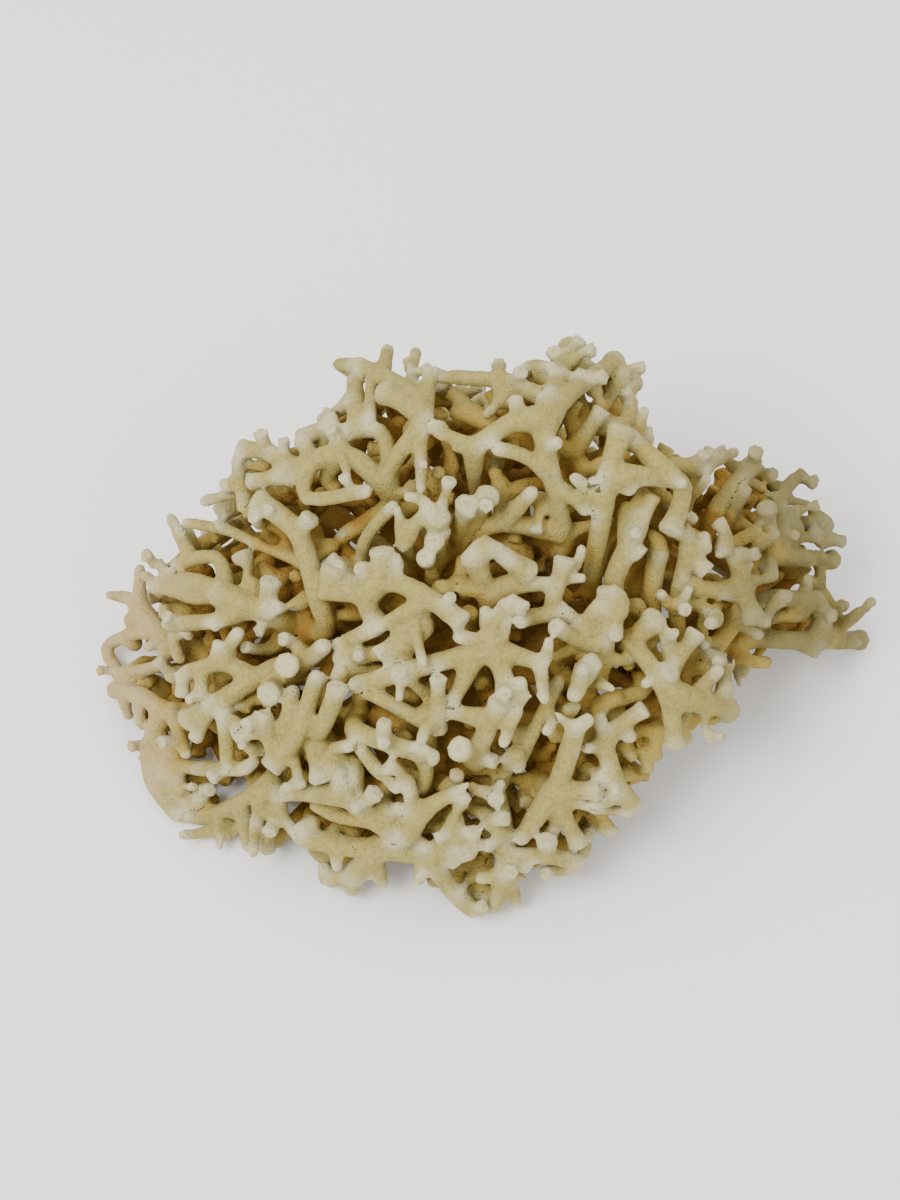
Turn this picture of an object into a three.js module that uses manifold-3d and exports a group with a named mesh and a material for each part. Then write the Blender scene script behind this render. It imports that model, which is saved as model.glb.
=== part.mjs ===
// A dried colony of branching coral, cut off flat where it grew on rock. Millimetres, +Z up.
// The origin is the middle of the flat cut, and the colony's wide side runs along X.
// Branches are given as they are seen from the front: right and up in the picture plane
// through the origin, and how deep they lie under the colony's domed outside.
import * as THREE from "three";
import { mergeVertices } from "three/addons/utils/BufferGeometryUtils.js";
import Module from "manifold-3d";

const wasm = await Module();
wasm.setup();

// The view that the branches are placed in: how steeply it looks down, and from how far.
const SIGHT_ANGLE = THREE.MathUtils.degToRad(60);
const EYE_DISTANCE = 800;

// The colony's domed outside. Its upper part stands further towards the eye.
const SPAN = 228;
const DEPTH = 187;
const HEIGHT = 87;
const CROWN_LIFT = 38;
const CROWN_LIFT_FROM = 15;
const CROWN_LIFT_TO = 85;

// The back, which slopes so that it stays hidden: its top in the picture plane, its width and curve.
const BACK_TOP = 78;
const BACK_SPAN = 112;
const BACK_CURVE = 1.7;

// The holdfast, the stump that the limbs grow from.
const HOLDFAST = "holdfast";
const HOLDFAST_RADIUS = 31;
const HOLDFAST_HEIGHT = 15;
const HOLDFAST_SIDES = 12;
const HOLDFAST_WAVE = 0.1;
const HOLDFAST_PROFILE = [
  [0, 0],
  [0.94, 0],
  [1, 0.25],
  [0.86, 0.7],
  [0.5, 1],
  [0, 1.06],
];

// The limbs, which taper from the holdfast to their hubs.
const LIMB_ROOT = 4.6;
const LIMB_TIP = 3.6;
const LIMB_STEPS = 3;
const LIMB_START = 0.45; // how far out on the holdfast a limb starts, as a share of its radius
const LIMB_BEND = { out: 0.42, up: 0.72 }; // where a limb bends, as shares of its hub's place

// The inner branches, which rise from the holdfast between the limbs: the turn about +Z and the
// rise above level, in degrees, and the length.
const INNER_RADIUS = 2.5;
const INNER_START = 0.3; // where they start, as a share of the holdfast's radius
const INNER_LIFT = 8; // how far they bend up on the way
const innerBranches = [
  { turn: 20, rise: 42, length: 36 },
  { turn: 70, rise: 34, length: 38 },
  { turn: 112, rise: 58, length: 36 },
  { turn: 150, rise: 32, length: 38 },
  { turn: 205, rise: 46, length: 36 },
  { turn: 255, rise: 34, length: 34 },
  { turn: 300, rise: 50, length: 34 },
  { turn: 350, rise: 66, length: 34 },
];

// Branches.
const STOUT = 2.75; // a branch of at least this radius has four sides, and a thinner one three
const ROOT_SHARE = 0.7; // a branch's root ring stays inside the branch that it grows from
const CLEARANCE = 0.35; // the gap between one piece and the next
const FLOOR_GAP = 0.8;
const SPARE = 1.5; // a point this near to the line between its neighbours is left out

// Rules for joining and fusing.
const SNAP = 2.5; // a root this near to its parent moves onto it
const TURN_COST = 0.4; // how much a root prefers a parent that lies straight behind it
const MARCH = 1.5; // the steps in which a branch is tested for crossings
const HUB_ROOM = 15; // sprays of one limb overlap this near to its hub
const CROSSING_SHARE = 0.85;
const PAST_ROOT = 2.5; // no crossing counts within so many radii of a spray's root
const PAST_CROSSING = 2; // nor within so many radii of the last crossing
const MOST_CROSSINGS = 3; // a branch that has met this many pieces runs on to its end

// The kinds of tip, and how wide each is beside its branch.
const KNOB = "knob";
const CUT = "cut";
const ROUND = "round";
const POINT = "point";
const TIP_SHARE = { [KNOB]: 1.4, [CUT]: 1.1, [ROUND]: 0.8, [POINT]: 0.3 };

const CORAL_COLOUR = 0xd9cfa6;
const CORAL_ROUGHNESS = 0.85;

const sightUp = new THREE.Vector3(0, Math.sin(SIGHT_ANGLE), Math.cos(SIGHT_ANGLE));
const sightNear = new THREE.Vector3(0, -Math.cos(SIGHT_ANGLE), Math.sin(SIGHT_ANGLE));

// How far towards the eye the dome's outside lies, behind a place in the picture plane.
function domeNear(right, up) {
  const [a, b, h] = [SPAN / 2, DEPTH / 2, HEIGHT];
  const [s, c] = [Math.sin(SIGHT_ANGLE), Math.cos(SIGHT_ANGLE)];
  const square = (c * c) / (b * b) + (s * s) / (h * h);
  const linear = 2 * up * s * c * (1 / (h * h) - 1 / (b * b));
  const rest = up * up * ((s * s) / (b * b) + (c * c) / (h * h)) + (right * right) / (a * a) - 1;
  const root = Math.sqrt(Math.max(linear * linear - 4 * square * rest, 0));
  const lift = CROWN_LIFT * THREE.MathUtils.smoothstep(up, CROWN_LIFT_FROM, CROWN_LIFT_TO);
  return (root - linear) / (2 * square) + lift;
}

// A point of the colony from where it is seen and how deep it lies, kept clear of the ground.
function seen([right, up, sunk], radius) {
  const lowest = (radius + FLOOR_GAP - up * sightUp.z) / sightNear.z;
  const near = Math.max(domeNear(right, up) - sunk, lowest);
  const shrink = 1 - near / EYE_DISTANCE;
  const point = new THREE.Vector3(right * shrink, 0, 0).addScaledVector(sightUp, up * shrink);
  point.addScaledVector(sightNear, near);
  point.z = Math.max(point.z, radius + FLOOR_GAP);
  return point;
}

// A point at the back, where the outside slopes so that it stays behind what shows from the front,
// from how far across and how high the point is, and how deep it lies under the outside.
function behind([across, height, sunk], radius) {
  const top = BACK_TOP * (1 - (Math.abs(across) / BACK_SPAN) ** BACK_CURVE);
  const outside = (top - height * sightUp.z) / sightUp.y;
  return new THREE.Vector3(across, outside - sunk, Math.max(height, radius + FLOOR_GAP));
}

// One branch: its radius, how it ends, and its points from the root to the tip.
function branch(radius, tip, ...points) {
  return { radius, tip, points };
}

// The limbs run from the holdfast to a hub under the dome, where their sprays begin.
const limbs = {
  crown_limb: [22, 30, 24],
  shoulder_limb: [40, 10, 28],
  right_limb: [72, 4, 32],
  upper_right_limb: [62, 36, 34],
  upper_left_limb: [-22, 38, 26],
  left_limb: [-52, 4, 26],
  far_left_limb: [-80, -8, 34],
  lower_left_limb: [-48, -26, 26],
  front_limb: [-8, -36, 28],
  lower_right_limb: [24, -34, 26],
  centre_limb: [-2, 2, 28],
};

// The limbs under the back, whose hubs are given as seen from behind: across, height and depth.
const backLimbs = {
  back_left_limb: [-46, 42, 24],
  back_limb: [0, 52, 26],
  back_right_limb: [46, 42, 24],
};

// The sprays that show from the front, each on its limb.
const sprays = {
  crown_fork: {
    limb: "crown_limb",
    branches: [
      branch(2.9, KNOB, [25, 30, 16], [24, 40, 9], [21, 53, 4], [18.5, 66, 0], [21.5, 75, -2], [27, 89, -6]),
      branch(2.7, KNOB, [18.5, 65, 0], [27, 75.5, -2], [40.5, 85, -6]),
      branch(2.8, ROUND, [18, 68.5, 0], [9, 66.5, 0], [-3, 59.5, 2], [-13, 65.5, 3]),
      branch(2.4, POINT, [-2.5, 60, 2], [-2, 44, 18]),
      branch(2.1, CUT, [12, 67, 0], [10.5, 73.8, -2]),
      branch(2.1, ROUND, [21, 52.5, 5], [12.5, 57, 1], [4.5, 59, -1]),
      branch(2.7, ROUND, [24.5, 33, 12], [6, 36.5, 10], [-1, 33, 14]),
      branch(2.1, ROUND, [7, 36, 10], [16, 46.3, 1]),
    ],
  },
  cross_bar: {
    limb: "crown_fork",
    branches: [
      branch(2.3, ROUND, [20.5, 73.5, 3], [9, 79, 2], [-3, 80, 2], [-14.5, 81, 1]),
    ],
  },
  crown_back: {
    limb: "crown_limb",
    branches: [
      branch(3.0, CUT, [25, 44, 26], [27, 56, 20], [31, 65, 16], [42, 79, 11]),
      branch(2.4, CUT, [28, 58, 15], [36.5, 70.5, 7]),
      branch(2.6, CUT, [37, 66, 16], [44, 67, 14], [46, 79, 11]),
      branch(2.6, CUT, [43, 63, 14], [51.5, 62.5, 9]),
      branch(2.4, ROUND, [22, 50, 24], [12, 62, 20], [-8, 70, 18]),
      branch(2.1, CUT, [2, 65, 19], [-9, 76, 14]),
    ],
  },
  right_shoulder: {
    limb: "shoulder_limb",
    branches: [
      branch(3.0, KNOB, [34, 16, 20], [34.5, 26, 11], [37.5, 44, 1], [38.5, 52, -1], [42.7, 65, -5]),
      branch(2.8, KNOB, [38.5, 50.5, -2], [47, 50.8, -4], [60, 49, -4], [60, 42, -3], [57, 34, -4]),
      branch(2.8, CUT, [56.5, 51, -2], [50, 57.5, -1], [44.5, 62, -1]),
    ],
  },
  shoulder_strands: {
    limb: "shoulder_limb",
    branches: [
      branch(3.1, ROUND, [40, 10, 20], [40.3, 20, 7], [46, 32.5, 3], [48.5, 38, 3]),
      branch(2.2, CUT, [47, 34, 3], [52.2, 45, 0]),
      branch(2.2, ROUND, [45, 32, 3], [46.5, 39, 4], [49, 46.5, 4]),
      branch(3.0, CUT, [50.5, 4, 22], [51.5, 16, 13], [53.5, 28.5, 8]),
    ],
  },
  right_knot: {
    limb: "shoulder_limb",
    branches: [
      branch(2.6, CUT, [58, 2, 22], [59, 13, 12], [62.5, 30, 1], [60, 34.5, 0]),
      branch(2.5, KNOB, [62.5, 30, 1], [68.5, 31, -2]),
      branch(2.5, CUT, [61.5, 27.5, 2], [68, 22, -2]),
    ],
  },
  mid_right_knobs: {
    limb: "shoulder_limb",
    branches: [
      branch(3.0, CUT, [36, -8, 20], [37.5, 0, 8], [38.5, 17, 0]),
      branch(2.4, ROUND, [38.2, 15, 1], [42, 12, 0], [40.3, 2, 1]),
      branch(2.4, CUT, [31, 1, 8], [22.5, 5.5, 1]),
      branch(2.6, CUT, [33, -10, 16], [31, -8, 7], [34, -5, 1]),
      branch(2.6, ROUND, [30.5, -6, 4], [28, -16, 3]),
      branch(2.5, POINT, [33, -9, 12], [40, -13.3, 1]),
    ],
  },
  right_white_knot: {
    limb: "right_limb",
    branches: [
      branch(2.9, CUT, [71, 0, 24], [79, 13, 7], [76.5, 28, 0]),
      branch(2.2, POINT, [78, 19, 3], [88.3, 19.8, 1]),
      branch(2.6, ROUND, [79, 16, 5], [66, 17, 6], [64.3, 20, 6]),
      branch(2.7, KNOB, [79, 15, 4], [82.3, 7.5, 0]),
    ],
  },
  right_ridge: {
    limb: "upper_right_limb",
    branches: [
      branch(3.0, CUT, [60, 38, 30], [62.5, 46, 22], [70.5, 58, 12]),
      branch(2.4, ROUND, [66, 53, 16], [57, 54.5, 18]),
      branch(2.8, CUT, [67, 32, 26], [71, 41, 20], [82, 54.3, 10]),
    ],
  },
  right_tips: {
    limb: "upper_right_limb",
    branches: [
      branch(2.8, CUT, [78, 22, 28], [86, 28, 16], [90.5, 33, 10], [103.3, 32, 4]),
      branch(2.8, CUT, [88, 28, 14], [94, 26.5, 10], [105.8, 25.5, 5]),
      branch(2.5, KNOB, [87, 29, 13], [86, 41.5, 3]),
      branch(2.2, POINT, [88, 33, 14], [90.5, 44.5, 12], [96.2, 51.5, 10]),
    ],
  },
  right_long_arm: {
    limb: "right_limb",
    branches: [
      branch(2.9, CUT, [75, 1, 28], [84, 2, 18], [94, 1.3, 12], [114, 1.5, 5]),
      branch(2.8, ROUND, [102, 3, 9], [102.5, 9, 9], [100.5, 14, 9]),
      branch(2.7, ROUND, [101, 13, 9], [89, 14.3, 8], [83.5, 13, 11]),
    ],
  },
  lower_right_spray: {
    limb: "shoulder_limb",
    branches: [
      branch(2.8, CUT, [40, 0, 20], [45, 1, 10], [53, -9, 3], [57, -18, 3], [58.5, -30.5, 2]),
      branch(3.0, KNOB, [45, 1, 9], [53, 8, 0]),
      branch(3.2, CUT, [56, -15, 3], [70, -18, 0], [75, -20, 0]),
      branch(2.1, ROUND, [63, -17, 5], [72, -7, -3]),
      branch(2.3, KNOB, [56, -13, 4], [58.5, -6, 4], [65, 4, 0]),
    ],
  },
  centre_right: {
    limb: "centre_limb",
    branches: [
      branch(3.1, KNOB, [3, 8, 16], [2, 15, 8], [-2, 27, 0]),
      branch(2.8, ROUND, [4, 15, 8], [15, 21, 4]),
      branch(2.8, ROUND, [14.5, 20.5, 4], [5.5, 28, 0]),
      branch(2.4, KNOB, [20, 9, 12], [22, 14, 4], [25.5, 26, 0]),
      branch(2.4, CUT, [8, 6, 16], [15, 8.5, 8], [26, 10, 6]),
    ],
  },
  centre_star: {
    limb: "centre_limb",
    branches: [
      branch(3.0, ROUND, [2, 0, 18], [4.5, -1, 4], [8, 12.5, 0]),
      branch(2.1, ROUND, [5, 0, 4], [-7, 2.7, 0]),
      branch(2.4, ROUND, [5, -2, 4], [18, -5.2, 3]),
      branch(2.8, CUT, [4.5, -2, 5], [8.7, -14, 3]),
      branch(2.9, ROUND, [3, -2, 5], [-8, -4, 5], [-30, -10, 6], [-38, -12.3, 5]),
      branch(2.3, ROUND, [0.5, -4, 6], [-8.3, -17, 7]),
    ],
  },
  centre_left_fan: {
    limb: "centre_limb",
    branches: [
      branch(3.1, KNOB, [-24, 2, 20], [-32, 8, 8], [-35, 14.5, 4], [-44, 18, 2], [-43.3, 23, 1]),
      branch(2.9, CUT, [-34, 15, 4], [-28, 19, 2], [-17.5, 15.5, 0], [-5, 6.7, -1]),
      branch(2.7, KNOB, [-28.5, 19, 2], [-29.5, 28.5, -1]),
      branch(2.8, ROUND, [-29, 21.5, 2], [-36.5, 23, 0]),
      branch(2.1, CUT, [-18, 9, 5], [-31, -3, 3]),
      branch(2.5, ROUND, [-22, -1, 8], [-43, -4, 9]),
    ],
  },
  centre_fingers: {
    limb: "upper_left_limb",
    branches: [
      branch(2.9, KNOB, [-12, 24, 20], [-13.5, 31, 8], [-12.7, 39, 1]),
      branch(2.2, KNOB, [-13, 18, 18], [-16.4, 26.5, 1]),
      branch(2.8, CUT, [-8, 28, 20], [-4, 42.5, 2]),
      branch(2.7, KNOB, [-6, 28, 20], [2.8, 45.3, 3]),
      branch(2.4, POINT, [-18, 26, 16], [-22.5, 30, 5], [-24.8, 41.7, 1]),
    ],
  },
  upper_left_ledge: {
    limb: "upper_left_limb",
    branches: [
      branch(3.1, CUT, [-26, 44, 14], [-31, 50, 9], [-38, 56, 6], [-47, 56.5, 5], [-58, 50.3, 3]),
      branch(2.6, CUT, [-55, 51, 4], [-63, 57.5, 5], [-71.3, 58.8, 5]),
      branch(2.3, CUT, [-49.5, 55.5, 4], [-53.7, 61.7, 4]),
      branch(2.2, CUT, [-56, 51, 3], [-69.3, 49, 1]),
      branch(2.1, ROUND, [-51.5, 54, 4], [-52, 44, 1], [-33.5, 46.3, -2]),
      branch(2.5, CUT, [-27, 53, 12], [-30, 64, 11], [-41, 63.5, 9]),
      branch(2.5, ROUND, [-35.5, 64.5, 10], [-37.8, 80, 9]),
      branch(2.6, ROUND, [-24, 42, 22], [-27.5, 52, 9], [-17, 68, 2], [-22.5, 77, 3], [-35.7, 83.5, 4]),
      branch(2.8, KNOB, [-18.5, 69, 3], [-29, 76, 1]),
    ],
  },
  left_diagonal: {
    limb: "left_limb",
    branches: [
      branch(3.1, CUT, [-46, 5, 16], [-49, 15, 6], [-52, 27, 2], [-56, 35.5, 1], [-67, 43.7, -1]),
    ],
  },
  left_fan: {
    limb: "left_limb",
    branches: [
      branch(3.3, KNOB, [-56, 6, 22], [-64, 9.5, 8], [-78.7, 16, 1]),
      branch(2.8, CUT, [-64.5, 9, 6], [-62.8, 19.3, 1]),
      branch(2.9, CUT, [-68, 12, 9], [-68.5, 19, 8], [-71.5, 27.5, 7]),
      branch(2.7, POINT, [-74, 14, 6], [-84, 18.7, 7], [-92, 20, 8], [-96.7, 24.7, 8]),
      branch(2.2, ROUND, [-76, 18, 9], [-79.5, 26.5, 9], [-91.5, 24, 9]),
      branch(2.4, ROUND, [-73, 9.5, 5], [-81, 7, 3], [-94, 6.5, 6]),
    ],
  },
  left_fingers: {
    limb: "left_limb",
    branches: [
      branch(3.0, CUT, [-52, -4, 24], [-62, -7, 12], [-75, -15, 6], [-88, -22.5, 5]),
      branch(2.4, ROUND, [-68, -9, 8], [-77, -5.5, 5], [-89, -8.5, 1]),
      branch(2.2, CUT, [-89, -8, 1], [-89.3, -15.5, -1]),
      branch(2.1, CUT, [-80, -19, 6], [-85.5, -28.3, 2]),
      branch(2.2, ROUND, [-75, -16, 8], [-75.7, -36, 7]),
      branch(2.8, KNOB, [-60, -10, 14], [-63.5, -15, 2]),
      branch(2.6, ROUND, [-56, -8, 16], [-46.5, 0, 3]),
    ],
  },
  far_left_arch: {
    limb: "far_left_limb",
    branches: [
      branch(3.4, ROUND, [-84, -2, 30], [-94, 2, 18], [-103.5, 13, 14]),
      branch(2.1, ROUND, [-97, 3, 16], [-105, 3, 13], [-112, -1, 12], [-108.5, -8, 12]),
      branch(2.1, ROUND, [-94, 1, 18], [-96, -6, 16], [-108, -8.5, 12]),
    ],
  },
  lower_left_rim: {
    limb: "far_left_limb",
    branches: [
      branch(2.9, ROUND, [-84, -18, 24], [-93, -20, 13], [-102, -15, 9], [-110, -13.5, 8]),
      branch(2.7, ROUND, [-95, -20, 11], [-99, -30, 9], [-98, -41, 10], [-90, -51.5, 11]),
      branch(2.1, ROUND, [-92, -21, 11], [-88, -33, 6]),
      branch(2.4, ROUND, [-96, -26, 14], [-90, -36, 12], [-71, -37, 8]),
    ],
  },
  lower_left_teeth: {
    limb: "lower_left_limb",
    branches: [
      branch(2.5, ROUND, [-58, -34, 22], [-66, -43, 9], [-80, -51, 9], [-88, -51, 10]),
      branch(2.4, POINT, [-79, -51, 9], [-78, -61, 7]),
      branch(2.5, CUT, [-64, -41, 9], [-60.5, -48, 5], [-64, -61, 4]),
    ],
  },
  lower_left_spray: {
    limb: "lower_left_limb",
    branches: [
      branch(3.0, CUT, [-52, -26, 20], [-58, -31, 10], [-63, -37, 3]),
      branch(2.8, ROUND, [-60, -34, 6], [-54.5, -26, 4], [-48.5, -9, 5]),
      branch(2.8, KNOB, [-61, -33, 7], [-66, -21.5, 1]),
      branch(2.8, CUT, [-50, -28, 14], [-47, -24, 4], [-42.5, -12.5, -1]),
    ],
  },
  front_foot: {
    limb: "front_limb",
    branches: [
      branch(3.2, ROUND, [-20, -44, 22], [-24, -55, 8], [-32, -61, 5], [-53.5, -57.7, 4]),
      branch(3.0, ROUND, [-28, -60, 7], [-37.5, -68, 4]),
      branch(2.4, ROUND, [-36, -67, 5], [-45, -71, 3]),
      branch(2.5, ROUND, [-36, -67.5, 5], [-38.7, -74, 4]),
      branch(2.8, ROUND, [-28, -60, 7], [-16, -63, 6], [-9, -56, 4], [-5, -45.5, 1]),
      branch(2.7, POINT, [-22, -57, 6], [-15.5, -49, 3], [-4, -42, 0]),
      branch(2.3, CUT, [-22, -56, 6], [-20.5, -48, 4], [-22, -40.5, 2], [-28, -36, 0]),
      branch(2.8, ROUND, [-14, -65, 5], [-8, -74, 3], [-1.3, -80, 2]),
    ],
  },
  front_left_arm: {
    limb: "lower_left_limb",
    branches: [
      branch(3.1, ROUND, [-38, -28, 20], [-42, -38, 8], [-39, -46, 5], [-26, -56.5, 5]),
      branch(2.6, CUT, [-40, -46, 5], [-59, -44, 4]),
    ],
  },
  front_knuckles: {
    limb: "front_limb",
    branches: [
      branch(3.2, ROUND, [2, -40, 24], [6, -50, 12], [8, -66, 5]),
      branch(2.5, CUT, [8, -64, 6], [19, -63, 3], [30, -65.7, 1]),
      branch(2.3, ROUND, [7, -66, 6], [4, -79.3, 4]),
    ],
  },
  lower_right_column: {
    limb: "lower_right_limb",
    branches: [
      branch(3.1, ROUND, [18, -40, 22], [22.5, -43, 8], [27, -31, 4], [28.7, -24, 2]),
      branch(2.1, POINT, [28, -26, 3], [22.8, -20.5, 0]),
      branch(2.7, ROUND, [22, -43, 7], [12, -58.5, 5]),
      branch(2.7, CUT, [23, -43.5, 7], [35.8, -44, 1]),
      branch(2.3, KNOB, [24, -45, 8], [29.7, -60, 3]),
    ],
  },
  low_right_spur: {
    limb: "lower_right_limb",
    branches: [
      branch(2.9, ROUND, [30, -28, 20], [37, -31, 10], [41, -42, 4], [46.7, -48.7, 2]),
      branch(2.4, CUT, [37, -30, 11], [41.5, -24.5, 9], [49.5, -19, 6]),
      branch(2.7, ROUND, [32, -22, 20], [38, -17, 14], [49, -14, 14]),
    ],
  },
  centre_low: {
    limb: "front_limb",
    branches: [
      branch(2.9, CUT, [-2, -36, 18], [0.5, -29, 7], [6, -17, 1]),
      branch(2.3, ROUND, [2.5, -21.5, 5], [-9.5, -20, 7]),
      branch(2.8, KNOB, [-2, -35, 14], [-6.3, -31, 2]),
      branch(2.2, ROUND, [10, -36, 16], [15, -28, 10], [24, -10, 9]),
    ],
  },
  left_cross_limb: {
    limb: "lower_left_limb",
    branches: [
      branch(2.8, ROUND, [-38, -22, 18], [-37, -25.5, 6], [-26, -30, 4], [-13.5, -34, 2]),
      branch(2.2, ROUND, [-36, -30, 8], [-32, -36, 4], [-24.5, -43.3, 1]),
      branch(2.3, ROUND, [-36, -18, 16], [-34, -14, 7], [-18, -22.5, 7], [-13, -26, 8]),
      branch(2.2, CUT, [-13, -25, 8], [-12.5, -9.7, 1]),
    ],
  },
};

// The sprays at the back, given as seen from behind.
const backSprays = {
  back_left_spray: {
    limb: "back_left_limb",
    branches: [
      branch(2.9, CUT, [-50, 45, 18], [-62, 51, 8], [-74, 55, 2]),
      branch(2.8, ROUND, [-52, 42, 18], [-66, 34, 8], [-84, 30, 3]),
      branch(2.6, KNOB, [-50, 38, 18], [-60, 24, 8], [-68, 12, 3]),
      branch(2.6, CUT, [-44, 46, 18], [-40, 58, 6], [-44, 72, 1]),
      branch(2.4, ROUND, [-42, 38, 18], [-36, 26, 5], [-32, 14, 2]),
      branch(2.2, POINT, [-66, 35, 8], [-90, 40, 2]),
      branch(2.2, KNOB, [-62, 27, 8], [-86, 15, 3]),
    ],
  },
  back_spray: {
    limb: "back_limb",
    branches: [
      branch(2.9, KNOB, [-2, 56, 18], [-8, 67, 8], [-12, 80, 2]),
      branch(2.8, CUT, [4, 55, 18], [14, 63, 8], [23, 75, 3]),
      branch(2.7, ROUND, [-5, 49, 18], [-14, 42, 6], [-27, 38, 1]),
      branch(2.7, CUT, [1, 46, 18], [4, 30, 5], [0, 13, 2]),
      branch(2.5, ROUND, [5, 49, 18], [17, 43, 6], [28, 35, 1]),
      branch(2.2, KNOB, [3.5, 33, 7], [16, 14, 2]),
      branch(2.1, POINT, [-12, 43, 7], [-17, 24, 1]),
    ],
  },
  back_right_spray: {
    limb: "back_right_limb",
    branches: [
      branch(2.9, CUT, [48, 47, 18], [56, 57, 8], [61, 68, 3]),
      branch(2.8, ROUND, [51, 43, 18], [64, 43, 8], [79, 41, 2]),
      branch(2.7, KNOB, [48, 38, 18], [59, 26, 8], [69, 13, 3]),
      branch(2.5, CUT, [42, 46, 18], [37, 56, 6], [41, 71, 1]),
      branch(2.3, ROUND, [42, 38, 18], [37, 25, 5], [33, 12, 2]),
      branch(2.2, POINT, [65, 43, 8], [79, 53, 3]),
    ],
  },
};

// Every run placed so far: the piece it belongs to, its points and its radii.
const runs = [];

// The place on a run that is nearest to a point: where it is, how far, and the radius there.
function nearestOn(run, point) {
  let best = null;
  const foot = new THREE.Vector3();
  const line = new THREE.Line3();
  for (let i = 0; i + 1 < run.points.length; i++) {
    line.set(run.points[i], run.points[i + 1]);
    line.closestPointToPoint(point, true, foot);
    const distance = foot.distanceTo(point);
    if (best && best.distance <= distance) continue;
    const share = line.closestPointToPointParameter(point, true);
    const radius = THREE.MathUtils.lerp(run.radii[i], run.radii[i + 1], share);
    best = { run, distance, radius, place: foot.clone() };
  }
  return best;
}

// Where a branch that starts at a point best joins a piece: near, and in line with the branch.
function joinPlace(piece, start, next) {
  const heading = next.clone().sub(start).normalize();
  let best = null;
  for (const run of runs.filter((other) => other.piece === piece)) {
    const found = nearestOn(run, start);
    const across = start.clone().sub(found.place);
    const turn = across.length() > SNAP ? 1 - across.normalize().dot(heading) : 0;
    found.cost = found.distance * (1 + TURN_COST * turn);
    if (!best || found.cost < best.cost) best = found;
  }
  return best;
}

// The first place where a branch meets a run of another piece. Its first stretch doesn't count,
// nor does anything near its limb's hub, nor the runs in the list to skip.
function firstCrossing({ piece, hub, points, radius }, skip, clear) {
  let walked = 0;
  for (let i = 0; i + 1 < points.length; i++) {
    const length = points[i].distanceTo(points[i + 1]);
    const steps = Math.max(1, Math.ceil(length / MARCH));
    for (let k = 1; k <= steps; k++) {
      const at = points[i].clone().lerp(points[i + 1], k / steps);
      walked += length / steps;
      if (walked < clear || at.distanceTo(hub) < HUB_ROOM) continue;
      for (const run of runs) {
        if (run.piece === piece || skip.includes(run)) continue;
        const found = nearestOn(run, at);
        if (found.distance < CROSSING_SHARE * (found.radius + radius)) return { index: i, at, found };
      }
    }
  }
  return null;
}

// Places a branch. Where it runs into another piece it stops there, fused as the real branches
// are, and what lies beyond grows on from the piece that it met.
function place(grown, rootRoom, clear, skip = []) {
  const { points, radius } = grown;
  const crossing = skip.length < MOST_CROSSINGS ? firstCrossing(grown, skip, clear) : null;
  if (!crossing) {
    runs.push(runOf(grown, rootRoom));
    return;
  }
  const { index, at, found } = crossing;
  const inner = runOf({ ...grown, tip: ROUND, points: [...points.slice(0, index + 1), at] }, rootRoom);
  if (lengthOf(inner.points) > radius) runs.push(inner);
  const isLast = (i, all) => i === all.length - 1;
  const rest = points.slice(index + 1);
  const near = PAST_CROSSING * radius;
  const apart = rest.filter((p, i, all) => isLast(i, all) || p.distanceTo(found.place) > near);
  const beyond = { ...grown, piece: found.run.piece, points: [found.place, ...apart] };
  const leave = found.radius + PAST_CROSSING * radius;
  if (lengthOf(beyond.points) > leave) place(beyond, found.radius, leave, [...skip, inner]);
}

function lengthOf(points) {
  return points.slice(1).reduce((sum, p, i) => sum + p.distanceTo(points[i]), 0);
}

// A run is a branch as it is built: its points, without those that it can do without, and its
// radius at each of them.
function runOf({ piece, points, radius, tip }, rootRoom) {
  const kept = withoutSpare(points);
  const radii = kept.map(() => radius);
  radii[0] = Math.min(radius, ROOT_SHARE * rootRoom);
  radii[radii.length - 1] *= TIP_SHARE[tip];
  return { piece, points: kept, radii };
}

// A path without the points that lie almost on the line between their neighbours.
function withoutSpare(points) {
  const line = new THREE.Line3();
  const foot = new THREE.Vector3();
  const kept = [points[0]];
  for (let i = 1; i + 1 < points.length; i++) {
    line.set(kept[kept.length - 1], points[i + 1]).closestPointToPoint(points[i], true, foot);
    if (foot.distanceTo(points[i]) > SPARE) kept.push(points[i]);
  }
  return [...kept, points[points.length - 1]];
}

function placeLimbs(hubs, pointAt) {
  for (const [piece, hub] of Object.entries(hubs)) {
    const end = pointAt(hub, LIMB_TIP);
    const start = new THREE.Vector3(end.x, end.y, 0).setLength(HOLDFAST_RADIUS * LIMB_START);
    start.z = HOLDFAST_HEIGHT / 2;
    const bendHeight = Math.max(end.z * LIMB_BEND.up, HOLDFAST_HEIGHT);
    const bend = new THREE.Vector3(end.x * LIMB_BEND.out, end.y * LIMB_BEND.out, bendHeight);
    const points = new THREE.QuadraticBezierCurve3(start, bend, end).getPoints(LIMB_STEPS);
    const radii = points.map((_, i) => THREE.MathUtils.lerp(LIMB_ROOT, LIMB_TIP, i / LIMB_STEPS));
    runs.push({ piece, points, radii });
  }
}

// A spray's first branch grows from its limb or from the spray it forks off, and the others
// grow from the spray itself.
function placeSprays(group, pointAt) {
  for (const [piece, { limb, branches }] of Object.entries(group)) {
    const stem = runs.find((run) => run.piece === limb);
    const hub = stem.points[stem.points.length - 1];
    for (const { radius, tip, points: given } of branches) {
      const points = given.map((p) => pointAt(p, radius));
      const started = runs.some((run) => run.piece === piece);
      const join = joinPlace(started ? piece : limb, points[0], points[1]);
      if (join.distance < SNAP) points[0] = join.place;
      else points.unshift(join.place);
      const clear = started ? 0 : join.radius + PAST_ROOT * radius;
      place({ piece, hub, points, radius, tip }, join.radius, clear);
    }
  }
}

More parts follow.
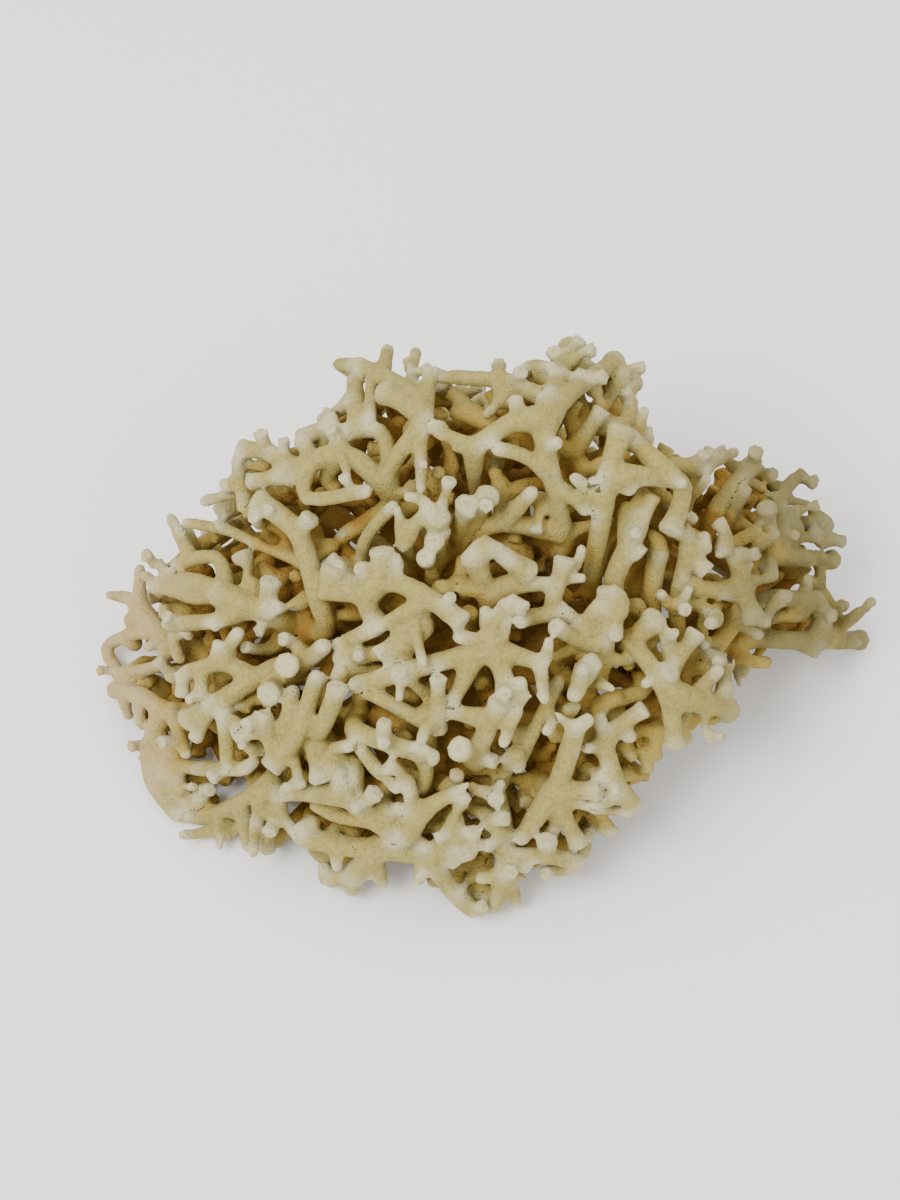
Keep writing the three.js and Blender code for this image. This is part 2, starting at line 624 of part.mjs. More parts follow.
// The inner branches stop, or grow on as part of another piece, where they meet it.
function placeInnerBranches() {
  const hub = new THREE.Vector3();
  for (const { turn, rise, length } of innerBranches) {
    const around = THREE.MathUtils.degToRad(turn);
    const slope = THREE.MathUtils.degToRad(rise);
    const flat = new THREE.Vector3(Math.cos(around), Math.sin(around), 0);
    const start = flat.clone().multiplyScalar(HOLDFAST_RADIUS * INNER_START);
    start.z = HOLDFAST_HEIGHT / 2;
    const end = start.clone().addScaledVector(flat, length * Math.cos(slope));
    end.z += length * Math.sin(slope);
    const bend = start.clone().lerp(end, 0.5);
    bend.z += INNER_LIFT / 2;
    const points = [start, bend, end];
    place({ piece: HOLDFAST, hub, points, radius: INNER_RADIUS, tip: ROUND }, INNER_RADIUS, HUB_ROOM);
  }
}

placeLimbs(limbs, seen);
placeLimbs(backLimbs, behind);
placeSprays(sprays, seen);
placeSprays(backSprays, behind);
placeInnerBranches();

// The share of its radius at which a ring of so many corners holds the round section's area.
const facetShare = (sides) => Math.sqrt((sides / (2 * Math.PI)) * Math.sin((2 * Math.PI) / sides));

// A closed tube through a run's points: a cylinder whose rings are moved onto the run, made
// wider all round where it stands for the room that the run needs.
function tube({ points, radii }, extra = 0) {
  const steps = points.length - 1;
  const sides = radii[steps - 1] >= STOUT ? 4 : 3;
  const geometry = new THREE.CylinderGeometry(1, 1, 1, sides, steps);
  const position = geometry.getAttribute("position");
  const frames = ringFrames(points);
  const corner = new THREE.Vector3();
  for (let i = 0; i < position.count; i++) {
    const ring = Math.round((position.getY(i) + 0.5) * steps);
    const { across, beside, heading } = frames[ring];
    const reach = radii[ring] / facetShare(sides) + extra / Math.cos(Math.PI / sides);
    corner.copy(points[ring]);
    corner.addScaledVector(across, position.getX(i) * reach);
    corner.addScaledVector(beside, position.getZ(i) * reach);
    if (ring === steps) corner.addScaledVector(heading, extra);
    position.setXYZ(i, corner.x, corner.y, corner.z);
  }
  return solid(geometry);
}

// The directions of each ring, turned as little as can be from one ring to the next.
function ringFrames(points) {
  const legs = points.slice(1).map((p, i) => p.clone().sub(points[i]).normalize());
  let beside = new THREE.Vector3(0.31, 0.17, 1).cross(legs[0]).normalize();
  return points.map((_, i) => {
    const before = legs[Math.max(i - 1, 0)];
    const after = legs[Math.min(i, legs.length - 1)];
    const heading = before.clone().add(after).normalize();
    beside = beside.clone().addScaledVector(heading, -beside.dot(heading)).normalize();
    return { heading, beside, across: heading.clone().cross(beside) };
  });
}

// The holdfast: a low uneven mound with a flat underside.
function holdfastSolid(extra = 0) {
  const profile = HOLDFAST_PROFILE.map(([out, up]) => {
    return new THREE.Vector2(out * (HOLDFAST_RADIUS + extra), up * (HOLDFAST_HEIGHT + extra));
  });
  const geometry = new THREE.LatheGeometry(profile, HOLDFAST_SIDES).rotateX(Math.PI / 2);
  const position = geometry.getAttribute("position");
  for (let i = 0; i < position.count; i++) {
    const turn = Math.atan2(position.getY(i), position.getX(i));
    const share = 1 + HOLDFAST_WAVE * (Math.sin(3 * turn + 0.6) + Math.sin(5 * turn) / 2);
    position.setX(i, position.getX(i) * share);
    position.setY(i, position.getY(i) * share);
  }
  return solid(geometry);
}

// A geometry as a closed solid that can be joined and cut.
function solid(geometry) {
  const bare = new THREE.BufferGeometry().setIndex(geometry.index);
  bare.setAttribute("position", geometry.getAttribute("position"));
  const merged = mergeVertices(bare);
  const mesh = new wasm.Mesh({
    numProp: 3,
    vertProperties: new Float32Array(merged.getAttribute("position").array),
    triVerts: new Uint32Array(merged.index.array),
  });
  return new wasm.Manifold(mesh);
}

const coral = new THREE.Group();

function addPiece(name, made) {
  const mesh = made.getMesh();
  const geometry = new THREE.BufferGeometry();
  geometry.setAttribute("position", new THREE.BufferAttribute(mesh.vertProperties, 3));
  geometry.setIndex(new THREE.BufferAttribute(mesh.triVerts, 1));
  geometry.computeVertexNormals();
  const material = new THREE.MeshStandardMaterial({
    color: CORAL_COLOUR,
    roughness: CORAL_ROUGHNESS,
    metalness: 0,
  });
  const piece = new THREE.Mesh(geometry, material);
  piece.name = name;
  coral.add(piece);
}

// A piece is its runs joined, less the room of the pieces before it. Chips that this cuts off
// are left out. The holdfast comes first, with its inner branches.
const taken = [];
for (const name of new Set([HOLDFAST, ...runs.map((run) => run.piece)])) {
  const own = runs.filter((run) => run.piece === name);
  const forms = own.map((run) => tube(run));
  const rooms = own.map((run) => tube(run, CLEARANCE));
  if (name === HOLDFAST) {
    forms.push(holdfastSolid());
    rooms.push(holdfastSolid(CLEARANCE));
  }
  const joined = wasm.Manifold.union(forms);
  const cut = taken.length ? joined.subtract(wasm.Manifold.union(taken)) : joined;
  const largest = cut.decompose().reduce((a, b) => (a.volume() > b.volume() ? a : b));
  addPiece(name, largest);
  taken.push(...rooms);
}

export default coral;
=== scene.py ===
import math
import random

import bpy
import numpy as np
from bpy.props import FloatProperty, FloatVectorProperty, IntProperty, PointerProperty
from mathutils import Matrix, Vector
from mathutils.kdtree import KDTree


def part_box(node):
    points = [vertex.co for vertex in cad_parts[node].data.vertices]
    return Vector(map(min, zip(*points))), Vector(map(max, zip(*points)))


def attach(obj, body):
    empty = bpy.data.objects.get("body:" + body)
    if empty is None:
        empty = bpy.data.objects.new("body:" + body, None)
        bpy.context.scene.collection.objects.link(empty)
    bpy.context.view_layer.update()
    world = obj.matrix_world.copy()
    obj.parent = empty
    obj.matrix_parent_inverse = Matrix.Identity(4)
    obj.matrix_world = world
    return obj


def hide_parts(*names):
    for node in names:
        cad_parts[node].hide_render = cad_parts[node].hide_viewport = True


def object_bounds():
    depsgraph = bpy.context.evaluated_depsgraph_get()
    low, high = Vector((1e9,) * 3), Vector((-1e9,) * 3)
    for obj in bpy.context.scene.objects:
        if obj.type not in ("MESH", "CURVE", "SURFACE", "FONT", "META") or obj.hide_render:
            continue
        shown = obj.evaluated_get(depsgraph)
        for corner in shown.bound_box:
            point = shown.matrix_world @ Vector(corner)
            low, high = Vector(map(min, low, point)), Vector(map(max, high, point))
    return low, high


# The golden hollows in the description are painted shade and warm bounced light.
bl_info = {
    "name": "Branching coral",
    "version": (1, 0, 0),
    "blender": (4, 5, 0),
    "location": "3D View > Sidebar > Coral",
    "description": "A dried branching coral with its twigs, pitted tips and golden hollows",
    "category": "Object",
}

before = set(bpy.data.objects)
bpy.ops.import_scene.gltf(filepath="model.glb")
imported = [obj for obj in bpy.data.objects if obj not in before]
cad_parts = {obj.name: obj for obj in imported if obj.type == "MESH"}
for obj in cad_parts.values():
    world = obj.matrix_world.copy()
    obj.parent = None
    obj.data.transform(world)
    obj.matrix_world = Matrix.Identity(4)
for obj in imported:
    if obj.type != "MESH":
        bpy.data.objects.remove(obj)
CAD_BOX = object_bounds()
PIECES = sorted(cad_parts)
MM = 0.001

# The view that the listed twigs are given in: right and up in the picture plane through the
# middle of the base, and how deep under the colony's domed outside, all in millimetres.
SIGHT_ANGLE = math.radians(60)
EYE_DISTANCE = 800
SIGHT_RIGHT = np.array([1.0, 0.0, 0.0])
SIGHT_UP = np.array([0.0, math.sin(SIGHT_ANGLE), math.cos(SIGHT_ANGLE)])
SIGHT_NEAR = np.array([0.0, -math.cos(SIGHT_ANGLE), math.sin(SIGHT_ANGLE)])

# The colony's domed outside, in millimetres. Its upper part stands further towards the eye.
SPAN = 228
DEPTH = 187
HEIGHT = 87
CROWN_LIFT = 38
CROWN_LIFT_FROM = 15
CROWN_LIFT_TO = 85
BACK_TOP = 78
BACK_SPAN = 112
BACK_CURVE = 1.7
FLOOR_GAP = 0.8

# The kinds of tip. Each is a list of places on the branch, in radii past its end, and how wide
# the branch is there.
KNOB = ((-2.6, 1.0), (-1.2, 1.15), (-0.3, 1.4), (0.15, 1.3))
CUT = ((-2.4, 1.0), (-0.9, 1.04), (-0.1, 1.24), (0.1, 1.2))
ROUND = ((-1.4, 1.0), (-0.5, 0.98), (0.1, 0.82), (0.4, 0.5))
POINT = ((-5.0, 1.0), (-2.5, 0.75), (-0.6, 0.5), (0.3, 0.22))
STUB = ((-1.6, 1.0), (-0.6, 1.08), (0.1, 1.22), (0.25, 1.15))

# The limbs and the place of each one's hub, where its sprays leave it.
FRONT_LIMBS = {
    "crown_limb": (22, 30, 24),
    "shoulder_limb": (40, 10, 28),
    "right_limb": (72, 4, 32),
    "upper_right_limb": (62, 36, 34),
    "upper_left_limb": (-22, 38, 26),
    "left_limb": (-52, 4, 26),
    "far_left_limb": (-80, -8, 34),
    "lower_left_limb": (-48, -26, 26),
    "front_limb": (-8, -36, 28),
    "lower_right_limb": (24, -34, 26),
    "centre_limb": (-2, 2, 28),
}
BACK_LIMBS = {
    "back_left_limb": (-46, 42, 24),
    "back_limb": (0, 52, 26),
    "back_right_limb": (46, 42, 24),
}
HOLDFAST_RADIUS = 31
HOLDFAST_HEIGHT = 15
LIMB_ROOT = 4.4
LIMB_TIP = 3.2
LIMB_START = 0.45
LIMB_BEND = (0.42, 0.72)
LIMB_POINTS = 7

# The sprays: what each grows from, then its branches, each with its radius, its kind of tip and
# its points from root to tip.
FRONT_SPRAYS = {
    "crown_fork": (
        "crown_limb",
        (2.9, KNOB, (25, 30, 16), (24, 40, 9), (21, 53, 4), (18.5, 66, 0), (21.5, 75, -2), (27, 89, -6)),
        (2.7, KNOB, (18.5, 65, 0), (27, 75.5, -2), (40.5, 85, -6)),
        (2.8, ROUND, (18, 68.5, 0), (9, 66.5, 0), (-3, 59.5, 2), (-13, 65.5, 3)),
        (2.4, POINT, (-2.5, 60, 2), (-2, 44, 18)),
        (2.1, CUT, (12, 67, 0), (10.5, 73.8, -2)),
        (2.1, ROUND, (21, 52.5, 5), (12.5, 57, 1), (4.5, 59, -1)),
        (2.7, ROUND, (24.5, 33, 12), (6, 36.5, 10), (-1, 33, 14)),
        (2.1, ROUND, (7, 36, 10), (16, 46.3, 1)),
    ),
    "cross_bar": (
        "crown_fork",
        (2.3, ROUND, (20.5, 73.5, 3), (9, 79, 2), (-3, 80, 2), (-14.5, 81, 1)),
    ),
    "crown_back": (
        "crown_limb",
        (3.0, CUT, (25, 44, 26), (27, 56, 20), (31, 65, 16), (42, 79, 11)),
        (2.4, CUT, (28, 58, 15), (36.5, 70.5, 7)),
        (2.6, CUT, (37, 66, 16), (44, 67, 14), (46, 79, 11)),
        (2.6, CUT, (43, 63, 14), (51.5, 62.5, 9)),
        (2.4, ROUND, (22, 50, 24), (12, 62, 20), (-8, 70, 18)),
        (2.1, CUT, (2, 65, 19), (-9, 76, 14)),
    ),
    "right_shoulder": (
        "shoulder_limb",
        (3.0, KNOB, (34, 16, 20), (34.5, 26, 11), (37.5, 44, 1), (38.5, 52, -1), (42.7, 65, -5)),
        (2.8, KNOB, (38.5, 50.5, -2), (47, 50.8, -4), (60, 49, -4), (60, 42, -3), (57, 34, -4)),
        (2.8, CUT, (56.5, 51, -2), (50, 57.5, -1), (44.5, 62, -1)),
    ),
    "shoulder_strands": (
        "shoulder_limb",
        (3.1, ROUND, (40, 10, 20), (40.3, 20, 7), (46, 32.5, 3), (48.5, 38, 3)),
        (2.2, CUT, (47, 34, 3), (52.2, 45, 0)),
        (2.2, ROUND, (45, 32, 3), (46.5, 39, 4), (49, 46.5, 4)),
        (3.0, CUT, (50.5, 4, 22), (51.5, 16, 13), (53.5, 28.5, 8)),
    ),
    "right_knot": (
        "shoulder_limb",
        (2.6, CUT, (58, 2, 22), (59, 13, 12), (62.5, 30, 1), (60, 34.5, 0)),
        (2.5, KNOB, (62.5, 30, 1), (68.5, 31, -2)),
        (2.5, CUT, (61.5, 27.5, 2), (68, 22, -2)),
    ),
    "mid_right_knobs": (
        "shoulder_limb",
        (3.0, CUT, (36, -8, 20), (37.5, 0, 8), (38.5, 17, 0)),
        (2.4, ROUND, (38.2, 15, 1), (42, 12, 0), (40.3, 2, 1)),
        (2.4, CUT, (31, 1, 8), (22.5, 5.5, 1)),
        (2.6, CUT, (33, -10, 16), (31, -8, 7), (34, -5, 1)),
        (2.6, ROUND, (30.5, -6, 4), (28, -16, 3)),
        (2.5, POINT, (33, -9, 12), (40, -13.3, 1)),
    ),
    "right_white_knot": (
        "right_limb",
        (2.9, CUT, (71, 0, 24), (79, 13, 7), (76.5, 28, 0)),
        (2.2, POINT, (78, 19, 3), (88.3, 19.8, 1)),
        (2.6, ROUND, (79, 16, 5), (66, 17, 6), (64.3, 20, 6)),
        (2.7, KNOB, (79, 15, 4), (82.3, 7.5, 0)),
    ),
    "right_ridge": (
        "upper_right_limb",
        (3.0, CUT, (60, 38, 30), (62.5, 46, 22), (70.5, 58, 12)),
        (2.4, ROUND, (66, 53, 16), (57, 54.5, 18)),
        (2.8, CUT, (67, 32, 26), (71, 41, 20), (82, 54.3, 10)),
    ),
    "right_tips": (
        "upper_right_limb",
        (2.8, CUT, (78, 22, 28), (86, 28, 16), (90.5, 33, 10), (103.3, 32, 4)),
        (2.8, CUT, (88, 28, 14), (94, 26.5, 10), (105.8, 25.5, 5)),
        (2.5, KNOB, (87, 29, 13), (86, 41.5, 3)),
        (2.2, POINT, (88, 33, 14), (90.5, 44.5, 12), (96.2, 51.5, 10)),
    ),
    "right_long_arm": (
        "right_limb",
        (2.9, CUT, (75, 1, 28), (84, 2, 18), (94, 1.3, 12), (114, 1.5, 5)),
        (2.8, ROUND, (102, 3, 9), (102.5, 9, 9), (100.5, 14, 9)),
        (2.7, ROUND, (101, 13, 9), (89, 14.3, 8), (83.5, 13, 11)),
    ),
    "lower_right_spray": (
        "shoulder_limb",
        (2.8, CUT, (40, 0, 20), (45, 1, 10), (53, -9, 3), (57, -18, 3), (58.5, -30.5, 2)),
        (3.0, KNOB, (45, 1, 9), (53, 8, 0)),
        (3.2, CUT, (56, -15, 3), (70, -18, 0), (75, -20, 0)),
        (2.1, ROUND, (63, -17, 5), (72, -7, -3)),
        (2.3, KNOB, (56, -13, 4), (58.5, -6, 4), (65, 4, 0)),
    ),
    "centre_right": (
        "centre_limb",
        (3.1, KNOB, (3, 8, 16), (2, 15, 8), (-2, 27, 0)),
        (2.8, ROUND, (4, 15, 8), (15, 21, 4)),
        (2.8, ROUND, (14.5, 20.5, 4), (5.5, 28, 0)),
        (2.4, KNOB, (20, 9, 12), (22, 14, 4), (25.5, 26, 0)),
        (2.4, CUT, (8, 6, 16), (15, 8.5, 8), (26, 10, 6)),
    ),
    "centre_star": (
        "centre_limb",
        (3.0, ROUND, (2, 0, 18), (4.5, -1, 4), (8, 12.5, 0)),
        (2.1, ROUND, (5, 0, 4), (-7, 2.7, 0)),
        (2.4, ROUND, (5, -2, 4), (18, -5.2, 3)),
        (2.8, CUT, (4.5, -2, 5), (8.7, -14, 3)),
        (2.9, ROUND, (3, -2, 5), (-8, -4, 5), (-30, -10, 6), (-38, -12.3, 5)),
        (2.3, ROUND, (0.5, -4, 6), (-8.3, -17, 7)),
    ),
    "centre_left_fan": (
        "centre_limb",
        (3.1, KNOB, (-24, 2, 20), (-32, 8, 8), (-35, 14.5, 4), (-44, 18, 2), (-43.3, 23, 1)),
        (2.9, CUT, (-34, 15, 4), (-28, 19, 2), (-17.5, 15.5, 0), (-5, 6.7, -1)),
        (2.7, KNOB, (-28.5, 19, 2), (-29.5, 28.5, -1)),
        (2.8, ROUND, (-29, 21.5, 2), (-36.5, 23, 0)),
        (2.1, CUT, (-18, 9, 5), (-31, -3, 3)),
        (2.5, ROUND, (-22, -1, 8), (-43, -4, 9)),
    ),
    "centre_fingers": (
        "upper_left_limb",
        (2.9, KNOB, (-12, 24, 20), (-13.5, 31, 8), (-12.7, 39, 1)),
        (2.2, KNOB, (-13, 18, 18), (-16.4, 26.5, 1)),
        (2.8, CUT, (-8, 28, 20), (-4, 42.5, 2)),
        (2.7, KNOB, (-6, 28, 20), (2.8, 45.3, 3)),
        (2.4, POINT, (-18, 26, 16), (-22.5, 30, 5), (-24.8, 41.7, 1)),
    ),
    "upper_left_ledge": (
        "upper_left_limb",
        (3.1, CUT, (-26, 44, 14), (-31, 50, 9), (-38, 56, 6), (-47, 56.5, 5), (-58, 50.3, 3)),
        (2.6, CUT, (-55, 51, 4), (-63, 57.5, 5), (-71.3, 58.8, 5)),
        (2.3, CUT, (-49.5, 55.5, 4), (-53.7, 61.7, 4)),
        (2.2, CUT, (-56, 51, 3), (-69.3, 49, 1)),
        (2.1, ROUND, (-51.5, 54, 4), (-52, 44, 1), (-33.5, 46.3, -2)),
        (2.5, CUT, (-27, 53, 12), (-30, 64, 11), (-41, 63.5, 9)),
        (2.5, ROUND, (-35.5, 64.5, 10), (-37.8, 80, 9)),
        (2.6, ROUND, (-24, 42, 22), (-27.5, 52, 9), (-17, 68, 2), (-22.5, 77, 3), (-35.7, 83.5, 4)),
        (2.8, KNOB, (-18.5, 69, 3), (-29, 76, 1)),
    ),
    "left_diagonal": (
        "left_limb",
        (3.1, CUT, (-46, 5, 16), (-49, 15, 6), (-52, 27, 2), (-56, 35.5, 1), (-67, 43.7, -1)),
    ),
    "left_fan": (
        "left_limb",
        (3.3, KNOB, (-56, 6, 22), (-64, 9.5, 8), (-78.7, 16, 1)),
        (2.8, CUT, (-64.5, 9, 6), (-62.8, 19.3, 1)),
        (2.9, CUT, (-68, 12, 9), (-68.5, 19, 8), (-71.5, 27.5, 7)),
        (2.7, POINT, (-74, 14, 6), (-84, 18.7, 7), (-92, 20, 8), (-96.7, 24.7, 8)),
        (2.2, ROUND, (-76, 18, 9), (-79.5, 26.5, 9), (-91.5, 24, 9)),
        (2.4, ROUND, (-73, 9.5, 5), (-81, 7, 3), (-94, 6.5, 6)),
    ),
    "left_fingers": (
        "left_limb",
        (3.0, CUT, (-52, -4, 24), (-62, -7, 12), (-75, -15, 6), (-88, -22.5, 5)),
        (2.4, ROUND, (-68, -9, 8), (-77, -5.5, 5), (-89, -8.5, 1)),
        (2.2, CUT, (-89, -8, 1), (-89.3, -15.5, -1)),
        (2.1, CUT, (-80, -19, 6), (-85.5, -28.3, 2)),
        (2.2, ROUND, (-75, -16, 8), (-75.7, -36, 7)),
        (2.8, KNOB, (-60, -10, 14), (-63.5, -15, 2)),
        (2.6, ROUND, (-56, -8, 16), (-46.5, 0, 3)),
    ),
    "far_left_arch": (
        "far_left_limb",
        (3.4, ROUND, (-84, -2, 30), (-94, 2, 18), (-103.5, 13, 14)),
        (2.1, ROUND, (-97, 3, 16), (-105, 3, 13), (-112, -1, 12), (-108.5, -8, 12)),
        (2.1, ROUND, (-94, 1, 18), (-96, -6, 16), (-108, -8.5, 12)),
    ),
    "lower_left_rim": (
        "far_left_limb",
        (2.9, ROUND, (-84, -18, 24), (-93, -20, 13), (-102, -15, 9), (-110, -13.5, 8)),
        (2.7, ROUND, (-95, -20, 11), (-99, -30, 9), (-98, -41, 10), (-90, -51.5, 11)),
        (2.1, ROUND, (-92, -21, 11), (-88, -33, 6)),
        (2.4, ROUND, (-96, -26, 14), (-90, -36, 12), (-71, -37, 8)),
    ),
    "lower_left_teeth": (
        "lower_left_limb",
        (2.5, ROUND, (-58, -34, 22), (-66, -43, 9), (-80, -51, 9), (-88, -51, 10)),
        (2.4, POINT, (-79, -51, 9), (-78, -61, 7)),
        (2.5, CUT, (-64, -41, 9), (-60.5, -48, 5), (-64, -61, 4)),
    ),
    "lower_left_spray": (
        "lower_left_limb",
        (3.0, CUT, (-52, -26, 20), (-58, -31, 10), (-63, -37, 3)),
        (2.8, ROUND, (-60, -34, 6), (-54.5, -26, 4), (-48.5, -9, 5)),
        (2.8, KNOB, (-61, -33, 7), (-66, -21.5, 1)),
        (2.8, CUT, (-50, -28, 14), (-47, -24, 4), (-42.5, -12.5, -1)),
    ),
    "front_foot": (
        "front_limb",
        (3.2, ROUND, (-20, -44, 22), (-24, -55, 8), (-32, -61, 5), (-53.5, -57.7, 4)),
        (3.0, ROUND, (-28, -60, 7), (-37.5, -68, 4)),
        (2.4, ROUND, (-36, -67, 5), (-45, -71, 3)),
        (2.5, ROUND, (-36, -67.5, 5), (-38.7, -74, 4)),
        (2.8, ROUND, (-28, -60, 7), (-16, -63, 6), (-9, -56, 4), (-5, -45.5, 1)),
        (2.7, POINT, (-22, -57, 6), (-15.5, -49, 3), (-4, -42, 0)),
        (2.3, CUT, (-22, -56, 6), (-20.5, -48, 4), (-22, -40.5, 2), (-28, -36, 0)),
        (2.8, ROUND, (-14, -65, 5), (-8, -74, 3), (-1.3, -80, 2)),
    ),
    "front_left_arm": (
        "lower_left_limb",
        (3.1, ROUND, (-38, -28, 20), (-42, -38, 8), (-39, -46, 5), (-26, -56.5, 5)),
        (2.6, CUT, (-40, -46, 5), (-59, -44, 4)),
    ),
    "front_knuckles": (
        "front_limb",
        (3.2, ROUND, (2, -40, 24), (6, -50, 12), (8, -66, 5)),
        (2.5, CUT, (8, -64, 6), (19, -63, 3), (30, -65.7, 1)),
        (2.3, ROUND, (7, -66, 6), (4, -79.3, 4)),
    ),
    "lower_right_column": (
        "lower_right_limb",
        (3.1, ROUND, (18, -40, 22), (22.5, -43, 8), (27, -31, 4), (28.7, -24, 2)),
        (2.1, POINT, (28, -26, 3), (22.8, -20.5, 0)),
        (2.7, ROUND, (22, -43, 7), (12, -58.5, 5)),
        (2.7, CUT, (23, -43.5, 7), (35.8, -44, 1)),
        (2.3, KNOB, (24, -45, 8), (29.7, -60, 3)),
    ),
    "low_right_spur": (
        "lower_right_limb",
        (2.9, ROUND, (30, -28, 20), (37, -31, 10), (41, -42, 4), (46.7, -48.7, 2)),
        (2.4, CUT, (37, -30, 11), (41.5, -24.5, 9), (49.5, -19, 6)),
        (2.7, ROUND, (32, -22, 20), (38, -17, 14), (49, -14, 14)),
    ),
    "centre_low": (
        "front_limb",
        (2.9, CUT, (-2, -36, 18), (0.5, -29, 7), (6, -17, 1)),
        (2.3, ROUND, (2.5, -21.5, 5), (-9.5, -20, 7)),
        (2.8, KNOB, (-2, -35, 14), (-6.3, -31, 2)),
        (2.2, ROUND, (10, -36, 16), (15, -28, 10), (24, -10, 9)),
    ),
    "left_cross_limb": (
        "lower_left_limb",
        (2.8, ROUND, (-38, -22, 18), (-37, -25.5, 6), (-26, -30, 4), (-13.5, -34, 2)),
        (2.2, ROUND, (-36, -30, 8), (-32, -36, 4), (-24.5, -43.3, 1)),
        (2.3, ROUND, (-36, -18, 16), (-34, -14, 7), (-18, -22.5, 7), (-13, -26, 8)),
        (2.2, CUT, (-13, -25, 8), (-12.5, -9.7, 1)),
    ),
}

BACK_SPRAYS = {
    "back_left_spray": (
        "back_left_limb",
        (2.9, CUT, (-50, 45, 18), (-62, 51, 8), (-74, 55, 2)),
        (2.8, ROUND, (-52, 42, 18), (-66, 34, 8), (-84, 30, 3)),
        (2.6, KNOB, (-50, 38, 18), (-60, 24, 8), (-68, 12, 3)),
        (2.6, CUT, (-44, 46, 18), (-40, 58, 6), (-44, 72, 1)),
        (2.4, ROUND, (-42, 38, 18), (-36, 26, 5), (-32, 14, 2)),
        (2.2, POINT, (-66, 35, 8), (-90, 40, 2)),
        (2.2, KNOB, (-62, 27, 8), (-86, 15, 3)),
    ),
    "back_spray": (
        "back_limb",
        (2.9, KNOB, (-2, 56, 18), (-8, 67, 8), (-12, 80, 2)),
        (2.8, CUT, (4, 55, 18), (14, 63, 8), (23, 75, 3)),
        (2.7, ROUND, (-5, 49, 18), (-14, 42, 6), (-27, 38, 1)),
        (2.7, CUT, (1, 46, 18), (4, 30, 5), (0, 13, 2)),
        (2.5, ROUND, (5, 49, 18), (17, 43, 6), (28, 35, 1)),
        (2.2, KNOB, (3.5, 33, 7), (16, 14, 2)),
        (2.1, POINT, (-12, 43, 7), (-17, 24, 1)),
    ),
    "back_right_spray": (
        "back_right_limb",
        (2.9, CUT, (48, 47, 18), (56, 57, 8), (61, 68, 3)),
        (2.8, ROUND, (51, 43, 18), (64, 43, 8), (79, 41, 2)),
        (2.7, KNOB, (48, 38, 18), (59, 26, 8), (69, 13, 3)),
        (2.5, CUT, (42, 46, 18), (37, 56, 6), (41, 71, 1)),
        (2.3, ROUND, (42, 38, 18), (37, 25, 5), (33, 12, 2)),
        (2.2, POINT, (65, 43, 8), (79, 53, 3)),
    ),
}
